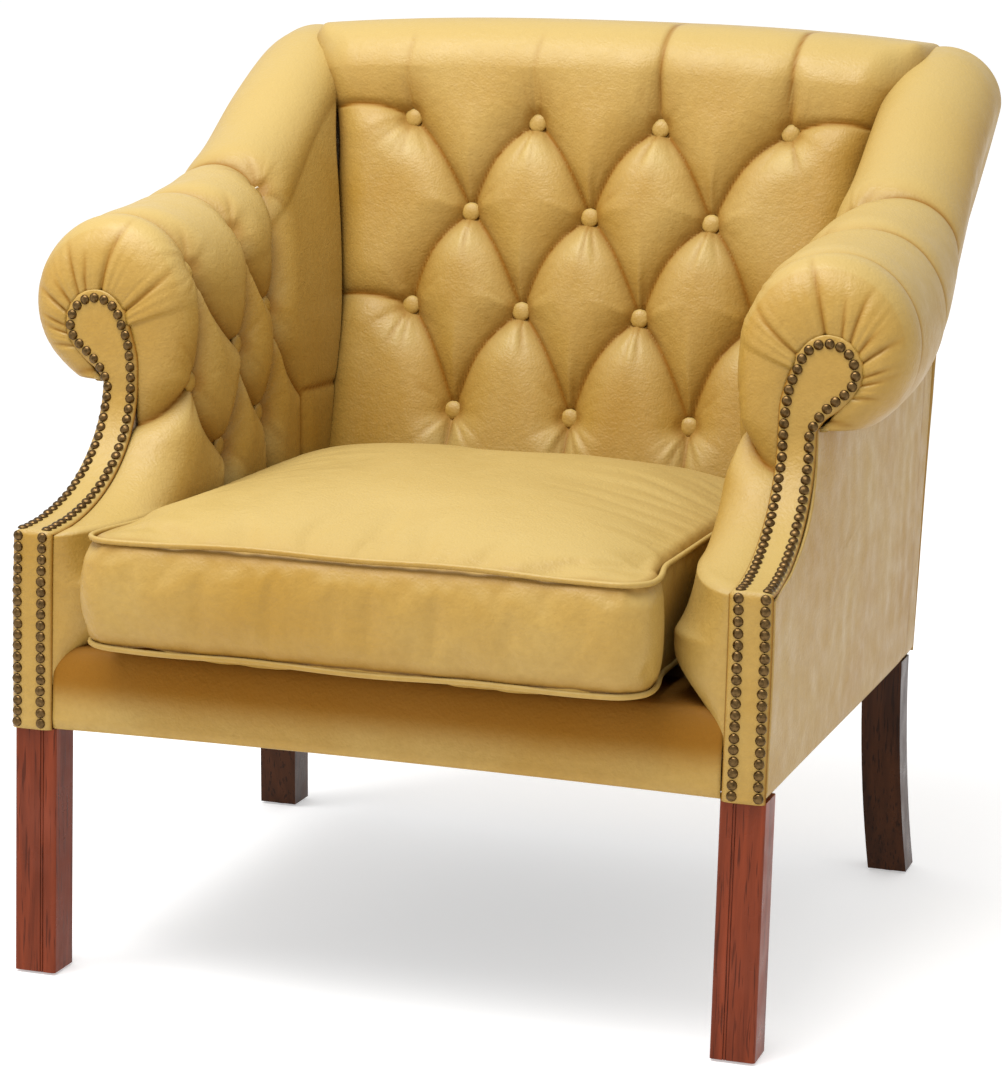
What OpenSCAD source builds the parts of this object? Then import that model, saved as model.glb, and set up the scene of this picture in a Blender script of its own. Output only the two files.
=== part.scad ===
// Upholstered tub armchair: beech frame, turned-over tufted arms and back, loose seat cushion.
// Millimetres, +Z up, the chair faces -Y, origin on the floor under the middle of its box.
// Working distances along Y count backwards from the front of the front legs.

/* [Frame] */
// Width over the outer faces of the front legs
leg_span = 720; // [700:1:740]
// Side of the square leg section
leg_side = 41.5; // [38:0.5:44]
// Height where the leather starts above the floor
skirt_z = 240; // [230:1:250]
// Distance from the front of the legs to the rear leg at the skirt
rear_leg_y = 635; // [625:1:645]
// How far the rear foot stands behind its top
rear_leg_sweep = 34; // [20:1:45]
// How far the rear foot stands outside its top
rear_leg_splay = 10; // [0:1:12]
// Thickness of the timber rails
rail_t = 28; // [24:1:30]
// Top of the seat rails
rail_top = 293; // [290:1:296]

/* [Arms] */
// Radius of the arm roll at the front
roll_r = 86; // [80:1:88]
// Distance of the roll's centre from the middle of the chair
roll_x = 352; // [348:1:354]
// Distance of the inside face of the arm from the middle
inner_x = 262; // [261:1:264]
// Height where the roll meets the outside panel at the front
pinch_z = 545; // [540:1:550]
// Height where the front edge of the arm starts to sweep back
knee_z = 424; // [420:1:430]
// How far the front edge of the arm sweeps back
sweep_y = 184; // [176:1:190]

/* [Back] */
// Height of the back at its middle
back_top = 897; // [890:1:900]
// Backward lean of the inside back, millimetres a millimetre of height
back_lean = 0.2535; // [0.24:0.005:0.27]
// Backward lean of the outside back, millimetres a millimetre of height
rear_lean = 0.1116; // [0.1:0.005:0.12]
// Depth of the buttons below the crowns of the tufting
tuft_depth = 22; // [18:1:24]
// Diameter of a leather button
button_d = 21; // [19:0.5:23]

/* [Cushion] */
// Half of the cushion's width between the arms
cushion_x = 254; // [250:1:255]
// How far the cushion stands in front of the legs
cushion_front = 58; // [50:1:60]
// Height of the lower piping
piping_low = 337; // [334:1:340]
// Height of the upper piping
piping_high = 434; // [430:1:438]
// Height of the cushion's crown
cushion_top = 466; // [460:1:470]

/* [Nails] */
// Diameter of a nail head
nail_d = 9.6; // [9:0.1:10]
// Spacing of the nails along a row
nail_pitch = 10.3; // [10.1:0.1:11]

/* [Hidden] */
$fn = 48;
eps = 0.5;                       // clearance between neighbouring pieces
leg_x = leg_span / 2;            // outer face of the legs
glide_h = 2.5;
back_roll_r = 22;                // roll along the rear of the back's top edge
back_roll_y = 774;
crown_roll_r = 66;               // roll along the front of the back's top edge
crown_roll_z = 831;
piping_r = 3;
depth_mid = (back_roll_y + back_roll_r - cushion_front - piping_r) / 2;
post_x0 = 321.5;                 // inner face of the side frame
post_x1 = 353;                   // outer face of the side frame
pad_x0 = post_x0 - eps;
pad_x1 = post_x1 + eps;
post_lean = 0.127;               // lean of the rear posts
post_top = 838;
top_rail_z = 800;               // underside of the back's top rail
rear_base = 702;                 // rear face of the chair at the skirt
panel_t = 6;                     // outside panels, board and leather
hide_t = 1.6;                    // leather
roll_top = 706;                  // top of the roll at the front
wood = "sienna";
pale_wood = "burlywood";
hide = "goldenrod";
foam = "khaki";
steel = "silver";
cloth = "tan";

module placed() translate([0, -depth_mid, 0]) children();
// side 1 is the viewer's right, side -1 the left
module on_side(side) placed() mirror([side < 0 ? 1 : 0, 0, 0]) children();

function mix(a, b, t) = a + (b - a) * t;
function clamp01(t) = max(0, min(1, t));
function smooth(t) = let (c = clamp01(t)) c * c * (3 - 2 * c);
function arc(c, r, a0, a1, n = 8) = [for (i = [0:n])
    let (a = mix(a0, a1, i / n)) c + r * [cos(a), sin(a)]];
function reverse(v) = [for (i = [len(v) - 1:-1:0]) v[i]];

// a solid through rings of points, each ring with the same number of points. caps are the end face's
// triangles, and from the point numbered turned on, each side face is cut along its other diagonal
module loft(rings, caps = [], turned = 1000) {
    n = len(rings[0]);
    m = len(rings);
    sides = [for (j = [0:m - 2]) for (i = [0:n - 1])
        let (k = (i + 1) % n, a = j * n + i, b = j * n + k, c = b + n, d = a + n)
            each i < turned ? [[a, c, b], [a, d, c]] : [[a, d, b], [b, d, c]]];
    near = len(caps) > 0 ? caps : [[for (i = [0:n - 1]) i]];
    far = [for (f = near) [for (i = reverse(f)) (m - 1) * n + i]];
    polyhedron([for (r = rings) for (p = r) p], concat(near, sides, far));
}
// end faces of a ring whose second half runs back inside its first
function strip_caps(n) = [for (i = [0:n / 2 - 2])
    each [[i, i + 1, n - 2 - i], [i, n - 2 - i, n - 1 - i]]];
// end faces of a ring of outline points that ends in points round a hollow: h is the number of the
// hollow's first point, top the outline's highest, and the hollow's upper corners are h + 1 and h + 2
function hollow_caps(h, top, last) = concat(
    [for (i = [0:top - 1]) [i, i + 1, h + 2]],
    [[top, h + 1, h + 2]],
    [for (i = [top:h - 1]) [i, i + 1, h + 1]],
    last > h + 2 ? [[0, h + 2, last]] : []);
// outline drawn in Y and Z, extruded along X from x0 to x1
module side_profile(x0, x1) translate([x0, 0, 0]) rotate([90, 0, 90])
    linear_extrude(x1 - x0) children();
// plan outline extruded upwards
module plate(z0, z1) translate([0, 0, z0]) linear_extrude(z1 - z0) children();
module block(x0, x1, y0, y1, z0, z1) translate([x0, y0, z0]) cube([x1 - x0, y1 - y0, z1 - z0]);
module rounded_square(w, d, r) {
    translate([r, 0]) square([w - 2 * r, d]);
    translate([0, r]) square([w, d - 2 * r]);
    for (x = [r, w - r]) for (y = [r, d - r]) translate([x, y]) circle(r);
}

// ---- guiding curves ----
function post_y(z) = rear_leg_y + post_lean * (z - skirt_z);
function rear_y(z) = rear_base + rear_lean * (z - skirt_z);
function button_y(z) = 599 + back_lean * (z - 485);
function crown_y(z) = button_y(z) - tuft_depth;
// front edge of the arm: straight up to the knee, then a quarter ellipse running back and up
sweep_z = pinch_z - 5 - knee_z;
function front_edge(inset, n = 12) = concat(
    [[inset, knee_z - inset - 9], [inset + 3, knee_z - inset - 3], [inset + 9, knee_z - inset]],
    [for (i = [2:n]) let (a = 90 * i / n)
        [(sweep_y + inset) * sin(a), knee_z - inset + (sweep_z + inset) * (1 - cos(a))]]);
function crest_z(y) = lookup(y, [[sweep_y, roll_top], [370, 721], [490, 748], [550, 778],
    [620, 832], [680, 862], [730, 875]]);
function wing(y) = smooth((y - 300) / 320);
function inner_top(y) = mix(roll_r, 50, wing(y));
function outer_top(y) = mix(roll_r, 45, wing(y));
function lower_r(y) = mix(roll_r, 48, wing(y));
// outline of the roll in X and Z at a station, from the inside face over the top to the pinch
function roll_outline(y, grow) = concat([[inner_x - grow, pinch_z + 6]], roll_arcs(y, grow, 176));
function roll_arcs(y, grow, start) = let (w = wing(y), c = crest_z(y)) concat(
    arc([mix(roll_x, 350, w), c - inner_top(y)], inner_top(y) + grow, start, 95, 7),
    arc([mix(roll_x, 385, w), c - outer_top(y)], outer_top(y) + grow, 85, 0, 7),
    arc([roll_x, mix(c - roll_r, 627, w)], lower_r(y) + grow, -6, -58, 5),
    [[post_x1 + 5 + max(grow, -4), mix(pinch_z, 580, w) - grow]]);

// ---- legs and rails ----
module front_leg(side) on_side(side) color(wood) difference() {
    union() {
        translate([leg_x - leg_side, 0, glide_h]) linear_extrude(skirt_z - glide_h)
            rounded_square(leg_side, leg_side, 3);
        block(post_x0, post_x1, 6, leg_side, skirt_z - 1, rail_top);
    }
    for (x = [12, 14.5]) block(leg_x - leg_side + x, leg_x - leg_side + x + 1, -1, 1.2,
        -1, skirt_z);
}
module front_leg_left() front_leg(-1);
module front_leg_right() front_leg(1);

rear_steps = 10;
function leg_ring(z, x1, y0, w, d) = [[x1 - w, y0, z], [x1, y0, z], [x1, y0 + d, z], [x1 - w, y0 + d, z]];
function rear_leg_rings() = concat(
    [for (i = [0:rear_steps]) let (t = i / rear_steps, b = (1 - t) * (1 - t),
        z = mix(glide_h, skirt_z, t))
        leg_ring(z, mix(leg_x + 3, leg_x + 3 + rear_leg_splay, b), rear_leg_y + rear_leg_sweep * b,
            leg_side, leg_side)],
    [leg_ring(skirt_z + 0.3, post_x1, rear_leg_y, post_x1 - post_x0, leg_side),
     leg_ring(post_top, post_x1, post_y(post_top), post_x1 - post_x0, leg_side)]);
module rear_leg(side) on_side(side) color(wood) loft(rear_leg_rings());
module rear_leg_left() rear_leg(-1);
module rear_leg_right() rear_leg(1);

rear_foot = [leg_x + 3 + rear_leg_splay - leg_side / 2, rear_leg_y + rear_leg_sweep + leg_side / 2];
module leg_glides() color("dimgray") for (side = [-1, 1]) on_side(side)
    for (p = [[leg_x - leg_side / 2, leg_side / 2], rear_foot])
        translate([p[0], p[1], 0]) cylinder(h = glide_h, d = 26);

rail_z0 = skirt_z + 6;
module front_seat_rail() placed() color(pale_wood)
    block(leg_side - leg_x + eps, leg_x - leg_side - eps, 6, 6 + rail_t, rail_z0, rail_top);
module back_seat_rail() placed() color(pale_wood)
    block(-post_x0 + eps, post_x0 - eps, rear_leg_y + 8, rear_leg_y + 8 + rail_t,
        rail_z0, rail_top);
module side_seat_rail(side) on_side(side) color(pale_wood)
    block(post_x0, post_x0 + rail_t, leg_side + eps, rear_leg_y - eps, rail_z0, rail_top);
module side_seat_rail_left() side_seat_rail(-1);
module side_seat_rail_right() side_seat_rail(1);

block_leg = 62;
block_y = leg_side + 1;
module corner_block() linear_extrude(36) polygon([[0, 0], [block_leg, 0], [0, block_leg]]);
module corner_blocks() color(pale_wood) for (side = [-1, 1]) on_side(side) {
    translate([leg_x - leg_side - eps, block_y - 7, rail_z0 + 2]) mirror([1, 0, 0]) corner_block();
    translate([post_x0 - eps, rear_leg_y + 7.5, rail_z0 + 2]) rotate([0, 0, 180]) corner_block();
}
module corner_block_screws() color(steel) for (side = [-1, 1]) on_side(side)
    for (dx = [12, 26]) {
        translate([leg_x - leg_side - eps - dx, block_y - 7 + dx / 2 + 4, rail_z0 + 38])
            cylinder(h = 2.5, d = 8);
        translate([post_x0 - eps - dx, rear_leg_y + 7.5 - dx / 2 - 4, rail_z0 + 38])
            cylinder(h = 2.5, d = 8);
    }

// ---- arm frame ----
module arm_post(side) on_side(side) color(pale_wood) side_profile(post_x0, post_x1)
    polygon(concat([[6, rail_top + eps]], front_edge(6), [[sweep_y + 6, 640],
        [sweep_y + 46, 640], [sweep_y + 46, 520], [200, 450], [120, 395], [60, 350],
        [60, rail_top + eps]]));
module arm_post_left() arm_post(-1);
module arm_post_right() arm_post(1);
module arm_rail(side) on_side(side) color(pale_wood)
    side_profile(post_x0, post_x0 + rail_t) polygon([[sweep_y + 46 + eps, 570],
        [post_y(570) - eps, 570], [post_y(608) - eps, 608], [sweep_y + 46 + eps, 608]]);
module arm_rail_left() arm_rail(-1);
module arm_rail_right() arm_rail(1);
ramp_ys = [330, 420, 490, 550, 600];
function ramp_z(y) = crest_z(y) - 86;
module arm_ramp(side) on_side(side) color(pale_wood) side_profile(post_x0, post_x0 + 18)
    polygon(concat([[post_y(700) - 22, 608.5], [ramp_ys[0], 608.5]],
        [for (y = ramp_ys) [y, ramp_z(y)]], [[post_y(735) - 10, 742]]));
module arm_ramp_left() arm_ramp(-1);
module arm_ramp_right() arm_ramp(1);
module arm_tack_rail(side) on_side(side) color(pale_wood)
    side_profile(post_x0, post_x0 + 22) polygon([[72, 322], [post_y(322) - 2, 322],
        [post_y(356) - 2, 356], [72, 356]]);
module arm_tack_rail_left() arm_tack_rail(-1);
module arm_tack_rail_right() arm_tack_rail(1);

// ---- back frame ----
module back_top_rail() placed() color(pale_wood) side_profile(-post_x0 + eps, post_x0 - eps)
    polygon([[post_y(top_rail_z), top_rail_z], [post_y(top_rail_z) + 36, top_rail_z],
        [post_y(post_top) + 36, post_top], [post_y(post_top), post_top]]);
module back_tack_rail() placed() color(pale_wood) side_profile(-post_x0 + eps, post_x0 - eps)
    polygon([[post_y(330), 330], [post_y(330) + 28, 330], [post_y(372) + 28, 372], [post_y(372), 372]]);

// ---- seat ----
spring_xs = [-210, -105, 0, 105, 210];
spring_y0 = 26;
spring_y1 = 652;
loops = 13;
wire = 3.6;
loop_pitch = (spring_y1 - spring_y0 - 16) / loops;
// centre line of a zigzag spring from its front end to its back end
function zigzag() = concat([[0, spring_y0]],
    [for (i = [0:loops - 1]) for (a = [-80:40:80])
        let (s = i % 2 == 0 ? 1 : -1)
        [s * (14 + 11 * cos(a)), spring_y0 + 8 + loop_pitch * (i + 0.5) + 0.42 * loop_pitch * sin(a)]],
    [[0, spring_y1]]);
function heading(p, i) = let (a = p[max(i - 1, 0)], b = p[min(i + 1, len(p) - 1)]) (b - a) / norm(b - a);
function shifted(p, d) = [for (i = [0:len(p) - 1]) let (h = heading(p, i)) p[i] + d * [-h[1], h[0]]];
module seat_springs() placed() color(steel) for (x = spring_xs) translate([x, 0, rail_top + 1])
    linear_extrude(wire)
        polygon(concat(shifted(zigzag(), wire / 2), reverse(shifted(zigzag(), -wire / 2))));
module spring_clip() difference() {
    translate([-9, -6, 0]) cube([18, 14, 7]);
    translate([-10, -1.5, 0.9]) cube([20, 12, 5]);
}
module spring_clips() placed() color(steel) for (x = spring_xs) {
    translate([x, 24, rail_top]) spring_clip();
    translate([x, 654, rail_top]) mirror([0, 1, 0]) spring_clip();
}
sheet_z = rail_top + 7.5;
module seat_layer(z0, z1, y0, y1) placed() block(-317, 317, y0, y1, z0, z1);
module seat_hessian() color(cloth) seat_layer(sheet_z, sheet_z + 1.5, 8, 648);
module seat_felt() color("gray") seat_layer(sheet_z + 2, sheet_z + 16, 14, 640);
module seat_deck() color("darkgoldenrod") seat_layer(sheet_z + 16.5, sheet_z + 18, 10, 530);
deck_z = sheet_z + 18;
module dust_cover() placed() color("dimgray")
    block(-316, 316, 10, 668, rail_z0 - 1.5, rail_z0 - 0.3);

// ---- webbing and hessian ----
module back_webbing() placed() color(cloth) {
    for (x = [-190, 0, 190]) side_profile(x - 25, x + 25) polygon([[post_y(373), 373],
        [post_y(top_rail_z - 1), top_rail_z - 1],
        [post_y(top_rail_z - 1) + 2, top_rail_z - 1], [post_y(373) + 2, 373]]);
    for (z = [440, 580, 720]) side_profile(-320.5, 320.5) polygon([[post_y(z) - 2.2, z],
        [post_y(z + 50) - 2.2, z + 50], [post_y(z + 50) - 0.2, z + 50], [post_y(z) - 0.2, z]]);
}
module back_hessian() placed() color(cloth) side_profile(-316, 316) polygon([[post_y(332) - 4, 332],
    [post_y(820) - 4, 820], [post_y(820) - 2.7, 820], [post_y(332) - 2.7, 332]]);
module arm_webbing(side) on_side(side) color(cloth) for (y = [120, 300, 480])
    block(post_x0 - 2, post_x0 - 0.2, y, y + 50, 324, y < 200 ? 430 : pinch_z - 2);
module arm_webbing_left() arm_webbing(-1);
module arm_webbing_right() arm_webbing(1);

// ---- tufting ----
// each button as [x, z] on the inside back
back_rows = [[792, [-209.7, -68.4, 68.4, 209.7]], [695, [-133.4, 0, 133.4]],
    [593, [-190.6, -65.7, 65.7, 190.6]], [485, [-131, 0, 131]]];
// each button as [y, z, x of its pit] on the inside arm
arm_pits = [[481, 719, 311], [371, 681, 298], [237, 653.5, 289], [435, 600, 281],
    [345, 568, 280], [224, 543.5, 280], [405, 491, 279], [300, 470.5, 279]];
back_tilt = atan(back_lean);
button_h = 9;
module button() {
    cylinder(h = button_h - 4, d = button_d);
    translate([0, 0, button_h - 4]) intersection() {
        cylinder(h = 4, d = button_d);
        translate([0, 0, -14]) sphere(r = 18);
    }
}
module at_back_buttons() for (row = back_rows) for (x = row[1])
    translate([x, button_y(row[0]), row[0]]) rotate([90 - back_tilt, 0, 0]) children();
module at_arm_buttons(side) for (b = arm_pits)
    translate([b[2], b[0], b[1]]) rotate([0, b[1] > 640 ? -62 : -90, 0]) children();
module tuft_pits() at_back_buttons() {
    translate([0, 0, -4]) cylinder(h = 60, d = button_d + 3);
    translate([0, 0, -90]) cylinder(h = 100, d = 4);
}
module arm_tuft_pits() at_arm_buttons() {
    translate([0, 0, -4]) cylinder(h = 50, d = button_d + 3);
    translate([0, 0, -50]) cylinder(h = 60, d = 4);
}
module back_buttons() placed() color(hide) at_back_buttons() translate([0, 0, -3]) button();
module arm_buttons(side) on_side(side) color(hide) at_arm_buttons() translate([0, 0, -3]) button();
module arm_buttons_left() arm_buttons(-1);
module arm_buttons_right() arm_buttons(1);
module back_button_ties() placed() color("ivory") at_back_buttons()
    translate([0, 0, -22]) cylinder(h = 18.5, d = 2);
module arm_button_ties() color("ivory") for (side = [-1, 1]) on_side(side) at_arm_buttons()
    translate([0, 0, -6.5]) cylinder(h = 3, d = 2);

// ---- arm padding and leather ----
module inside_arm_pad(side) on_side(side) color(foam) difference() {
    side_profile(inner_x + hide_t, pad_x0 - 2) polygon(concat([[14, deck_z + 1]], front_edge(14),
        [[sweep_y + 14, pinch_z - 3], [button_y(545) + 30, pinch_z - 3],
        [button_y(330) + 30, deck_z + 1]]));
    arm_tuft_pits();
}
module inside_arm_pad_left() inside_arm_pad(-1);
module inside_arm_pad_right() inside_arm_pad(1);

// stations along the roll as [place along Y at lean_z, how much smaller or larger than full size]
lean_z = 580;
pad_in = hide_t + 3.5;           // the roll's padding stays this far inside the leather's outer face
roll_stations = [[sweep_y + 14, -4], [sweep_y + 26, 0],
    [260, 0], [320, 0], [380, 0], [440, 0], [500, 0], [550, 0], [590, 0], [620, 0], [650, 0],
    [post_y(lean_z) - 6, 0]];
wing_stations = [[post_y(lean_z) - 5.7, 0], [705, 0], [rear_y(lean_z) - 8, 0]];
wing_start = 122;                // where the wing's outline starts, past the back's own layers
// the stations lean back more and more, up to the slope of the rear posts
function station_lean(y) = y > 700 ? rear_lean : post_lean * smooth((y - 480) / 190);
function ring_at(y, points) = [for (p = points) [p[0], y + station_lean(y) * (p[1] - lean_z), p[1]]];
// the frame's space inside the roll
function roll_hollow(y) =
    let (top = mix(max(641.5, ramp_z(y) + 15), crest_z(y) - 18, smooth((y - 600) / 45)))
    [[pad_x1, mix(pinch_z, 580, wing(y)) + 2], [pad_x1, top], [pad_x0, top]];
function pad_ring(s) = ring_at(s[0], concat([[inner_x + pad_in - s[1], pinch_z]],
    roll_outline(s[0], s[1] - pad_in), roll_hollow(s[0]), [[pad_x0, pinch_z]]));
function wing_ring(s) = ring_at(s[0], concat(roll_arcs(s[0], s[1] - pad_in, wing_start),
    roll_hollow(s[0])));
// the leather over the roll, as a thin hook-shaped ring at each station
function cover_edge(s, grow) = concat([[inner_x - grow, pinch_z - 2]], roll_outline(s[0], s[1] + grow));
function cover_ring(s) = ring_at(s[0], concat(cover_edge(s, 0), reverse(cover_edge(s, 0.2 - hide_t))));
function wing_cover_ring(s) = ring_at(s[0], concat(roll_arcs(s[0], s[1], wing_start),
    reverse(roll_arcs(s[0], s[1] + 0.2 - hide_t, wing_start))));
module arm_roll_pad(side) on_side(side) color(foam) {
    loft([for (s = roll_stations) pad_ring(s)], hollow_caps(25, 9, 28));
    loft([for (s = wing_stations) wing_ring(s)], hollow_caps(23, 8, 0));
}
module arm_roll_pad_left() arm_roll_pad(-1);
module arm_roll_pad_right() arm_roll_pad(1);
module arm_cover(side) on_side(side) color(hide) {
    side_profile(inner_x, inner_x + hide_t - 0.2) polygon(concat([[12, deck_z + 1]], front_edge(12),
        [[sweep_y + 12, pinch_z - 3], [button_y(545) - 24, pinch_z - 3],
        [button_y(320) - 24, deck_z + 1]]));
    side_profile(inner_x, leg_x - leg_side - 1) polygon(concat([[10, deck_z + 1]], front_edge(10),
        [[sweep_y + 10, pinch_z - 3], [sweep_y + 12.5, pinch_z - 3]], reverse(front_edge(12.5)),
        [[12.5, deck_z + 1]]));
    loft([for (s = roll_stations) cover_ring(s)], strip_caps(50), 24);
    loft([for (s = wing_stations) wing_cover_ring(s)], strip_caps(46), 22);
}
module arm_cover_left() arm_cover(-1);
module arm_cover_right() arm_cover(1);

// ---- back padding and leather ----
back_half = inner_x - 1;         // half width between the arm pads
function back_section(d) = concat([[crown_y(330) + d, 330]], [[crown_y(816) + d, 816]],
    arc([crown_y(crown_roll_z - 1) + crown_roll_r, crown_roll_z], crown_roll_r - d, 168, 90, 6),
    arc([back_roll_y, back_top - back_roll_r], back_roll_r - d, 90, -60, 5),
    [[rear_y(853) - 8 - d, 853 + d]]);
function back_hollow() = [
    [rear_y(802) - 8, 802], [post_y(post_top) + 38, 802], [post_y(post_top) + 38, post_top + 1],
    [post_y(post_top) - 5, post_top + 1], [post_y(330) - 5, 330]];
wing_half = 298;                 // half width between the wings at the top
back_side = [[back_half, 300], [back_half, pinch_z], [wing_half, 818], [wing_half, back_top - 9],
    [wing_half - 40, back_top - 5], [140, back_top - 1], [60, back_top]];
module back_front() placed() translate([0, 900, 0]) rotate([90, 0, 0]) linear_extrude(600)
    polygon(concat(back_side, [for (p = reverse(back_side)) [-p[0], p[1]]]));
module back_pad() color(foam) difference() {
    intersection() {
        placed() side_profile(-345, 345) polygon(concat(back_section(hide_t), back_hollow()));
        back_front();
    }
    placed() tuft_pits();
}
module back_cover() color(hide) difference() {
    intersection() {
        placed() side_profile(-345, 345)
            polygon(concat(back_section(0), reverse(back_section(hide_t - 0.2))));
        back_front();
    }
    placed() tuft_pits();
}

// ---- outside panels ----
module outside_arm(side) on_side(side) color(hide) side_profile(pad_x1 + eps, pad_x1 + eps + panel_t)
    polygon(concat([[2, skirt_z + eps]], front_edge(2),
        [[sweep_y + 10, pinch_z - 3], [330, pinch_z - 3], [rear_y(575) - panel_t - 1, 575],
         [rear_y(skirt_z) - panel_t - 1, skirt_z + eps]]));
module outside_arm_left() outside_arm(-1);
module outside_arm_right() outside_arm(1);
rear_tilt = atan(rear_lean);
// half of the outside back, measured up its own slope
rear_outline = [
    [360, 1], [361, 338], [384, 350], [400, 410], [424, 590], [412, 622], [345, 628], [301, 611]];
module outside_back() placed() color(hide) translate([0, rear_base, skirt_z]) rotate([90 - rear_tilt, 0, 0])
    linear_extrude(panel_t) polygon(concat(rear_outline, [for (p = reverse(rear_outline)) [-p[0], p[1]]]));
module front_border() placed() color(hide) {
    block(leg_side - leg_x + 1, leg_x - leg_side - 1, -4, 5.5, skirt_z, rail_top + 5);
}

// ---- facings and nails ----
head_c = [361, 600];             // centre of the scroll's round head, X and Z
head_r = 34;
module facing_strip(x0, x1) side_profile(x0, x1) polygon(concat([[-5, skirt_z]], front_edge(-5),
    [[sweep_y - 5, head_c[1]], [sweep_y - 1.5, head_c[1]]], reverse(front_edge(-1.5)),
    [[-1.5, skirt_z]]));
module arm_facing(side) on_side(side) color(hide) {
    facing_strip(318, 358);
    translate([head_c[0], sweep_y - 1.5, head_c[1]]) rotate([90, 0, 0]) cylinder(h = 3.5, r = head_r);
}
module arm_facing_left() arm_facing(-1);
module arm_facing_right() arm_facing(1);

// the two rows and the arc that joins them round the head, as one path of [x, y, z]
nail_gap = 0.6;
function nail_row(x, up) = let (s = [for (p = front_edge(-5 - nail_gap)) [x, p[0], p[1]]],
    r = concat([[x, -5 - nail_gap, skirt_z + 9]], s, [[x, sweep_y - 5 - nail_gap, 565]]))
    up ? r : reverse(r);
head_nail_y = sweep_y - 5 - nail_gap;
function nail_path() = concat(nail_row(327, true),
    [for (a = [200:-20:-60]) [head_c[0] + 26 * cos(a), head_nail_y, head_c[1] + 26 * sin(a)]],
    nail_row(351, false));
path = nail_path();
function run_to(i) = i == 0 ? 0 : run_to(i - 1) + norm(path[i] - path[i - 1]);
runs = [for (i = [0:len(path) - 1]) run_to(i)];
function along(s) = [for (k = [0:2]) lookup(s, [for (i = [0:len(path) - 1]) [runs[i], path[i][k]]])];
nail_count = floor(runs[len(path) - 1] / nail_pitch);
nail_h = 2.6;
function nail_tilt(s) = let (d = along(s + 1) - along(s - 1)) atan2(abs(d[1]), abs(d[2]));
module nail_head() intersection() {
    cylinder(h = nail_h, d = nail_d);
    translate([0, 0, nail_h - 5.8]) sphere(r = 5.8);
}
module facing_nails(side) on_side(side) color("peru") for (i = [0:nail_count]) {
    s = i * runs[len(path) - 1] / nail_count;
    p = along(s);
    flat = p[2] > 545;
    translate(p) rotate([90 - (flat ? 0 : nail_tilt(s)), 0, 0]) nail_head();
}
module facing_nails_left() facing_nails(-1);
module facing_nails_right() facing_nails(1);

// ---- cushion ----
ear_x = 268;                     // half width in front of the arms
cushion_rear = 530;
function half_outline(g) = concat([[0, -cushion_front - g]],
    arc([ear_x - 36, -cushion_front + 36], 36 + g, -90, 0, 6), arc([ear_x - 10, -18], 10 + g, 0, 60, 3),
    [[cushion_x + g, 4]], arc([cushion_x - 20, cushion_rear - 20], 20 + g, 0, 90, 5));
function outline(g) =
    concat(half_outline(g), [for (p = reverse(half_outline(g))) if (p[0] > 0) [-p[0], p[1]]]);
cushion_bottom = deck_z + 0.5;
crown = cushion_top - piping_high;
crown_half = (cushion_rear + cushion_front) / 2;
crown_mid = (cushion_rear - cushion_front) / 2;
// the crown's height along the cushion: flat in the middle and turned down to the front and rear piping
function crown_line(upper) = [for (i = [-6:6]) let (t = i / 6)
    [crown_mid + t * crown_half, upper - crown * pow(abs(t), 3)]];
module cushion_body(g, lower, upper) placed() intersection() {
    plate(lower, upper) polygon(outline(g));
    side_profile(-400, 400) polygon(concat([[crown_mid - crown_half, lower]], crown_line(upper),
        [[crown_mid + crown_half, lower]]));
}
module cushion_cover() color(hide) difference() {
    cushion_body(-piping_r - 0.4, cushion_bottom, cushion_top);
    cushion_body(-piping_r - 2.2, cushion_bottom + 2, cushion_top - 2);
    placed() block(-230, 230, cushion_rear - 8, cushion_rear + 8, 372, 396);
}
module cushion_core() color(foam) cushion_body(-piping_r - 2.6, cushion_bottom + 2.3, cushion_top - 2.3);
module piping(z) placed() color(hide) {
    line = outline(0);
    count = len(line);
    loop = [for (i = [0:count - 1]) let (a = line[(i + count - 1) % count], b = line[(i + 1) % count],
        h = (b - a) / norm(b - a), out = [h[1], -h[0]])
        [for (k = [0:7]) let (t = 45 * k) [line[i][0] + out[0] * piping_r * cos(t),
            line[i][1] + out[1] * piping_r * cos(t), z + piping_r * sin(t)]]];
    ring_faces = [for (i = [0:count - 1]) for (k = [0:7]) let (j = (i + 1) % count, m = (k + 1) % 8)
        for (f = [0:1]) f == 0 ? [i * 8 + k, i * 8 + m, j * 8 + m] : [i * 8 + k, j * 8 + m, j * 8 + k]];
    polyhedron([for (r = loop) for (p = r) p], ring_faces);
}
module cushion_piping_top() piping(piping_high);
module cushion_piping_bottom() piping(piping_low);
zip_half = 225;
module cushion_zip() placed() color("saddlebrown") {
    block(-zip_half, zip_half, cushion_rear - piping_r - 1.7, cushion_rear - piping_r, 375, 383);
    block(-zip_half, zip_half, cushion_rear - piping_r - 1.7, cushion_rear - piping_r, 385, 393);
}
module zip_slider() placed() color("peru") translate([-zip_half + 12, cushion_rear - piping_r + 0.3, 384]) {
    block(-6, 6, 0, 2.4, -4, 4);
    block(-22, -6, 0.7, 1.9, -2.5, 2.5);
}

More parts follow.
